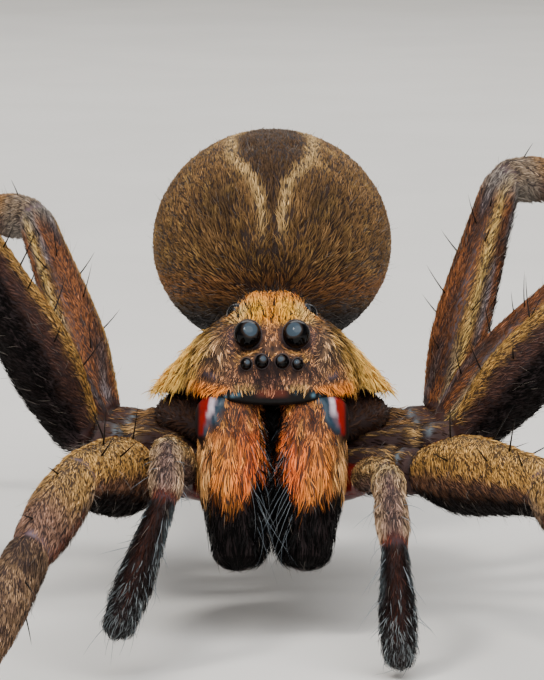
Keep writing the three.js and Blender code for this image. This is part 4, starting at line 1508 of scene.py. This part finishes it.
def build_coats():
    head = FLESH["carapace"]
    is_face = fade(head.points[..., 1], 3.6, 4.0)
    face = hairs(head, 1.2, 101, where=is_face, window=FACE_WINDOW, tone=0.5)
    coat_piece("coat_face", [face], COMBED_HAIR)
    thorax = hairs(head, 1.4, 102, where=1 - is_face, window=THORAX_WINDOW)
    coat_piece("coat_thorax", [thorax, hairs(FLESH["pleura"], 1.0, 103)], COMBED_HAIR)

    both = []
    for index, (side, window) in enumerate(HALVES.items()):
        surface = FLESH[f"chelicera_{side}"]
        both.append(hairs(surface, 1.1, 110 + index, window=window, stray=0.1, tone=0.5))
        both.append(brush_hairs(surface, 112 + index, window))
    coat_piece("coat_chelicerae", both, COMBED_HAIR)

    body = FLESH["abdomen"]
    above = (body.ball[..., 2] > 0) * 1.0
    upper = hairs(body, 1.35, 120, SHORT_TUFT, above, UPPER_WINDOW)
    lower = hairs(body, 1.2, 121, SHORT_TUFT, 1 - above, LOWER_WINDOW)
    coat_piece("coat_abdomen_above", [upper], VELVET_HAIR)
    coat_piece("coat_abdomen_below", [lower], VELVET_HAIR)
    below = hairs(FLESH["sternum"], 1.1, 130, SHORT_TUFT)
    coat_piece("coat_sternum", [below], VELVET_HAIR)

    both = []
    for index, (side, window) in enumerate(HALVES.items()):
        surface = FLESH[f"palp_{side}"]
        both.append(hairs(surface, 1.5, 140 + index, window=window, stray=0.12, tone=0.4))
        both.append(silver_hairs(surface, 142 + index, window))
    coat_piece("coat_palps", both, COMBED_HAIR)

    for index, (name, surface) in enumerate(LEGS.items()):
        coat = hairs(surface, 1.55, 150 + index, SHORT_TUFT, stray=0.11, tone=0.34)
        coat_piece(f"coat_{name}", [coat], COMBED_HAIR)


def brush_hairs(surface, seed, window):
    """The black brush on the inner side of a chelicera, which closes the gap between the two."""
    side = np.sign(surface.points[..., 0].mean())
    facing_in = -surface.normals[..., 0] * side
    level = surface.points[..., 2]
    low = bell(level, 4.7, 0.6)
    black = np.zeros(surface.colour.shape) + linear("040303")
    brush = variant(
        surface,
        lie=surface.along + np.array([-0.5 * side, 0, 0]),
        lift=42 + 8 * low,
        length=0.62 - 0.1 * low,
        width=surface.width * 0 + 0.045,
        follow=np.zeros(level.shape),
        colour=black,
        tip=black,
    )
    only_inside = (smoothstep(facing_in - 0.3 * smoothstep(level, 5.5, 7.5), 0.35, 0.7)
                   * smoothstep(level, 3.7, 4.1))
    return hairs(brush, 2.2, seed, where=only_inside * (1 + 1.6 * low), window=window)


def silver_hairs(surface, seed, window):
    """Pale hairs among the dark ones, on the outer half of a palp's foot."""
    toe = (surface.segment == 3) * smoothstep(surface.share, 0.3, 0.8)
    sides = (surface.segment == 3) * smoothstep(np.abs(surface.side), 0.6, 0.9) * 0.3
    grey = np.zeros(surface.colour.shape) + linear("6d7375")
    pale = variant(surface, colour=grey, tip=grey * 1.3, width=surface.width * 0.7,
                   length=surface.length * 1.05, lift=surface.lift * 1.35 + 4)
    return hairs(pale, 0.3, seed, where=np.maximum(toe, sides), window=window, tone=0.3)


def eye_ball(name, centre, radius, look, one, two):
    turn = np.linspace(0, math.pi, 42)[1:-1, None]
    angle = np.linspace(0, 2 * math.pi, 64, endpoint=False)[None, :]
    ball = (look * np.cos(turn)[..., None] + one * (np.sin(turn) * np.cos(angle))[..., None]
            + two * (EYE_TALLNESS * np.sin(turn) * np.sin(angle))[..., None])
    s = Surface(centre + ball * radius, [centre + look * radius, centre - look * radius])
    s.skin = s.colour
    points, parts, *_ = surface_mesh(s, WHOLE)
    mesh = new_mesh(name + "_ball", points, surface_faces(parts))
    # a painted reflection: slate blue where the ball faces up, forward and inwards, weaker on small
    # eyes
    sheen_towards = unit(np.array([-0.3 * np.sign(centre[0]), -1, 0.66]))
    sheen = smoothstep((points - centre) / radius @ sheen_towards, 0.66, 0.97)
    set_values(mesh, "painted_reflection", sheen * (0.75 if radius < 0.3 else 1))
    new_piece(name + "_ball", mesh, EYE, [name])


def eye_rim(centre, radius, look, one, two):
    """Corners and faces of the low rim of smooth skin in which an eye sits."""
    thick = 0.018 + 0.014 * radius
    round_angle = np.linspace(0, 2 * math.pi, 72, endpoint=False)[:, None]
    small_angle = np.linspace(0, 2 * math.pi, 12, endpoint=False)
    spoke = one * np.cos(round_angle) + two * EYE_TALLNESS * np.sin(round_angle)
    middle = centre + spoke * (radius + thick * 0.5) - look * radius * RIM_DEPTH
    ring = (middle[:, None, :] + spoke[:, None, :] * (np.cos(small_angle) * thick)[None, :, None]
            + look * (np.sin(small_angle) * thick * 1.2)[None, :, None])
    n, m = ring.shape[:2]
    i, j = (values.ravel() for values in np.meshgrid(np.arange(n), np.arange(m), indexing="ij"))
    beyond, beside = (i + 1) % n, (j + 1) % m
    quad = np.stack([i * m + j, beyond * m + j, beyond * m + beside, i * m + beside], 1)
    outward = np.cross(ring[1, 0] - ring[0, 0], ring[0, 1] - ring[0, 0]) @ (ring[0, 0] - middle[0])
    return ring.reshape(-1, 3), quad if outward > 0 else quad[:, ::-1]


def build_eyes():
    rims = []
    for name, centre, radius, look in EYES:
        one = unit(np.cross(look, [0, 0, 1.0]))
        two = np.cross(one, look)
        eye_ball(name, centre, radius, look, one, two)
        rims.append(eye_rim(centre, radius, look, one, two))
    joined_piece("eye_rims", rims, EYE_RIM)


FANG_LINE = {
    "joints": ((1.75, -0.6, 3.2), (1.2, 0, 2.85), (0.55, 0.6, 2.95)),
    "radii": ((0.48, 0.44, 0.38), (0.38, 0.34, 0.2)),
}
ENDITE_LINE = {
    "joints": ((3.35, 0.85, 6.05), (2.2, 1.75, 5.8), (1.15, 1.4, 3.9)),
    "radii": ((0.7, 0.85, 0.85), (0.85, 0.8, 0.6)),
}
LABIUM_LINE = {"joints": ((0, 2.0, 5.6), (0, 1.65, 4.4)), "radii": ((0.5, 0.55, 0.42),)}
ENDITE_CUT = {"columns": 32, "spacing": 0.08, "depth": 0.03, "rounding": 0.5}


def shell(line, side, **options):
    joints = [np.array(joint) * (side, 1, 1) for joint in line["joints"]]
    return stalk(joints, line["radii"], "401010", **options)


def shell_piece(name, surface, material, node):
    points, parts, *_ = surface_mesh(surface, WHOLE)
    new_piece(name, new_mesh(name, points, surface_faces(parts)), material, [node])


def mouth_brush(side):
    """The dark red brush along the inner edge of an endite."""
    s = shell(ENDITE_LINE, side, bare=0.0, **ENDITE_CUT)
    inwards = smoothstep(-s.normals[..., 0] * side, 0.2, 0.6) * (s.segment == 1)
    brush = variant(
        s,
        colour=np.zeros(s.colour.shape) + linear("2a0d08"),
        tip=np.zeros(s.colour.shape) + linear("5a1d10"),
        lie=s.along + np.array([-0.8 * side, -0.2, 0]),
        lift=s.lift * 0 + 55,
        length=s.length * 0 + 0.6,
        follow=s.follow * 0,
    )
    return hairs(brush, 1.6, 170 + side, where=inwards)


def build_shells():
    coat_piece("coat_mouth", [mouth_brush(side) for side in SIDES.values()], VELVET_HAIR)
    for side_name, side in SIDES.items():
        fang = shell(FANG_LINE, side, columns=24, spacing=0.06, depth=0.06)
        shell_piece(f"fang_{side_name}_horn", fang, FANG, f"fang_{side_name}")
        shell_piece(f"endite_{side_name}_shell", shell(ENDITE_LINE, side, **ENDITE_CUT),
                    MOUTH_SHELL, f"endite_{side_name}")
    shell_piece("labium_shell", shell(LABIUM_LINE, 1, depth=0.03), MOUTH_SHELL,
                "labium")


# Spines: segment number in the limb, share of its length, angle from its back towards the front
# side of the leg in degrees, and length.
LEG_SPINES = (
    (1, 0.28, 12, 1.7), (1, 0.52, -8, 1.9), (1, 0.76, 10, 1.9), (1, 0.45, 60, 1.6),
    (1, 0.7, 55, 1.6), (1, 0.4, -60, 1.5), (1, 0.68, -55, 1.5), (1, 0.88, 35, 1.3),
    (2, 0.3, 0, 1.2), (2, 0.9, 0, 1.3), (3, 0.25, 70, 1.4), (3, 0.7, 70, 1.4), (3, 0.3, 160, 1.3),
    (3, 0.6, -160, 1.3), (3, 0.25, -70, 1.3), (3, 0.7, -70, 1.3), (4, 0.12, 150, 1.5),
    (4, 0.12, -150, 1.5), (4, 0.45, 150, 1.4), (4, 0.45, -150, 1.4), (4, 0.3, 60, 1.1),
    (4, 0.3, -60, 1.1), (4, 0.85, 90, 1.0), (4, 0.85, -90, 1.0),
)
SPINE_THICKNESS = 0.085
CLAW_CLEARANCE = 0.02  # lowest point of spines and claws above the ground
CLAW = {"length": 0.62, "thickness": 0.13, "rise": (0, 0, 0.35), "hook": (0, 0, -0.45)}


def build_spines():
    rng = np.random.default_rng(7)
    rows = []
    for name, surface in LEGS.items():
        side = 1 if name.endswith("left") else -1
        size = LEG_THICKNESS[name[:5]]
        for part, share, angle, length in LEG_SPINES:
            wobble = rng.normal(0, 0.02)
            root, normal, along = on_limb(surface, part, share + wobble, side * angle)
            direction = normal + along * (0.55 if part == 1 else 0.9)
            rows.append((root - normal * 0.1, direction, length * size, SPINE_THICKNESS * size,
                         along * 0.12))
        # two claws at the end of the foot
        end = surface.points[-1].mean(0)
        along, across = surface.along[-1, 0], surface.normals[-8, 7]
        for turn in (-1, 1):
            forward = along + across * 0.25 * turn
            rows.append((end - along * 0.12, forward + CLAW["rise"], CLAW["length"] * size,
                         CLAW["thickness"] * size, np.array(CLAW["hook"])))
    points, faces = spikes(*columns_of(rows), sides=6, rings=6)
    points[:, 2] = np.maximum(points[:, 2], CLAW_CLEARANCE)
    face = FLESH["carapace"]
    x, y, z = np.moveaxis(face.points, -1, 0)
    crown = (z > 12.3) * (np.abs(x) < 1.9) * (y < 4)
    low = (z < 11.2) * (y < 2)
    joined_piece("spines", [
        (points, faces),
        bristles(face, 18, 71, 0.8, 0.038, 50, where=crown),
        bristles(face, 3, 72, 0.4, 0.022, 45, where=low),
    ], BLACK_SPINE)


def bristles(surface, per_square_mm, seed, length, thickness, lift, where=1.0):
    """Long single hairs, standing further off the skin than the coat."""
    rng = np.random.default_rng(seed)
    spot = pick_roots(surface, per_square_mm * where, rng)
    count = len(spot[0])
    root = at_places(surface.points, *spot)
    normal = unit(at_places(surface.normals, *spot))
    lie = at_places(np.asarray(surface.lie, float), *spot)
    lie = unit(lie - normal * dot(lie, normal)) + rng.normal(0, 0.25, (count, 3))
    angle = np.radians(lift * np.clip(rng.normal(1, 0.2, count), 0.5, 1.5))[:, None]
    direction = lie * np.cos(angle) + normal * np.sin(angle)
    lengths = length * rng.uniform(0.6, 1.35, count)
    thicknesses = thickness * rng.uniform(0.8, 1.2, count)
    bends = -0.25 * normal + rng.normal(0, 0.08, (count, 3))
    points, faces = spikes(root - normal * 0.05, direction, lengths, thicknesses, bends,
                           sides=3, rings=3)
    points[:, 2] = np.maximum(points[:, 2], GROUND)
    return points, faces


def crossing_bristles(is_left, seed):
    """Long fine bristles from the inner edge of a chelicera, down and across the gap."""
    rng = np.random.default_rng(seed)
    side = 1 if is_left else -1
    surface = FLESH["chelicera_left" if is_left else "chelicera_right"]
    rows = []
    for height in np.linspace(8.7, 5.0, 20):
        x = side * (0.25 + 0.6 * rng.uniform())
        level = height + rng.normal(0, 0.12)
        miss = np.abs(surface.points[..., 0] - x) + np.abs(surface.points[..., 2] - level)
        miss = miss + 10 * (surface.normals[..., 1] > 0)
        ring, column = np.unravel_index(np.argmin(miss), miss.shape)
        direction = np.array([-side * rng.uniform(0.3, 0.7), -0.32, -1])
        rows.append((surface.points[ring, column] + [0, -0.1, 0], direction, rng.uniform(2.0, 3.2),
                     rng.uniform(0.012, 0.019), np.array([side * rng.uniform(-0.1, 0.5), 0.16, 0])))
    return spikes(*columns_of(rows), sides=3, rings=6)


def build_bristles():
    pale, dull = [], []
    for index, (name, surface) in enumerate(FLESH.items()):
        if name.startswith("leg_"):
            dull.append(bristles(surface, 1.4, 200 + index, 0.85, 0.015, 40))
        elif name.startswith("palp_"):
            toe = (surface.segment >= 2) * (np.abs(surface.side) > 0.5)
            pale.append(bristles(surface, 2.2, 220 + index, 1.4, 0.032, 38, where=toe))
            dull.append(bristles(surface, 2.5, 230 + index, 0.7, 0.016, 34))
        elif name.startswith("chelicera_"):
            pale.append(crossing_bristles(name.endswith("left"), 240 + index))
            dull.append(bristles(surface, 1.2, 250 + index, 0.9, 0.018, 30))
    dull.append(bristles(FLESH["abdomen"], 1.6, 260, 0.65, 0.014, 48))
    joined_piece("pale_bristles", pale, PALE_BRISTLE)
    joined_piece("dull_bristles", dull, DULL_BRISTLE)


# ---------------------------------------------------------------- floor, lights and camera

CAMERA = {"distance": 150.0, "aim": (0, 0, 11.8), "elevation": 9.0, "focal_px": 3840.0}
IMAGE_HEIGHT = 680
SENSOR = 36.0
FLOOR_WIDTH = 3.2  # in metres, as are the places and sizes of the lights


def build_stage():
    mesh = bpy.data.meshes.new("floor")
    half = FLOOR_WIDTH / 2
    corners = [(-half, -half, 0), (half, -half, 0), (half, half, 0), (-half, half, 0)]
    mesh.from_pydata(corners, [], [(0, 1, 2, 3)])
    mesh.materials.append(noisy_material("floor_paper", "e4e1dc", "e9e6e1", 60, 0.85))
    link("floor", mesh)

    world = bpy.data.worlds.new("studio")
    world.use_nodes = True
    shader = Shader(world.node_tree)
    direction = shader.add("ShaderNodeTexCoord")
    split = shader.add("ShaderNodeSeparateXYZ", {"Vector": direction.outputs["Generated"]})
    height = shader.add("ShaderNodeMapRange", {
        "Value": split.outputs["Z"], "From Max": 0.5, "To Min": 0.52, "To Max": 0.2,
    })
    background = world.node_tree.nodes["Background"]
    background.inputs["Color"].default_value = (1, 0.99, 0.97, 1)
    shader.join(height.outputs["Result"], background.inputs["Strength"])
    bpy.context.scene.world = world


def looking_along(direction):
    return direction.to_track_quat("-Z", "Y").to_euler()


def soft_light(name, spot, aim, width, height, power, disk=False):
    light = bpy.data.lights.new(name, "AREA")
    light.shape = "ELLIPSE" if disk else "RECTANGLE"
    light.size, light.size_y = width, height
    light.energy = power
    lamp = link(name, light)
    lamp.location = spot
    lamp.rotation_euler = looking_along(aim - spot)
    lamp.visible_camera = False


def build_lights():
    head = Vector(place((0, 0, 11)))
    softbox, back_light = Vector((0.035, -0.13, 0.17)), Vector((0.02, 0.26, 0.22))
    soft_light("softbox", head + softbox, head, 0.3, 0.24, 0.86, disk=True)
    soft_light("back", head + back_light, head, 0.3, 0.2, 0.5)
    sun = bpy.data.lights.new("key", "SUN")
    sun.energy = 1.5
    sun.angle = math.radians(12)
    sun.color = (1, 0.97, 0.92)
    link("key", sun).rotation_euler = looking_along(Vector((0.45, 0.55, -0.9)))


def build_camera():
    camera = bpy.data.cameras.new("camera")
    camera.sensor_width = SENSOR
    camera.lens = CAMERA["focal_px"] / IMAGE_HEIGHT * SENSOR
    camera.clip_start, camera.clip_end = 0.01, 10
    tilt = math.radians(CAMERA["elevation"])
    aim = Vector(place(CAMERA["aim"]))
    back = Vector((0, -math.cos(tilt), math.sin(tilt))) * CAMERA["distance"] * MM
    holder = link("camera", camera)
    holder.location = aim + back
    holder.rotation_euler = looking_along(-back)
    bpy.context.scene.camera = holder


build_stage()
build_lights()
build_camera()
build_skin()
build_coats()
build_eyes()
build_shells()
build_spines()
build_bristles()
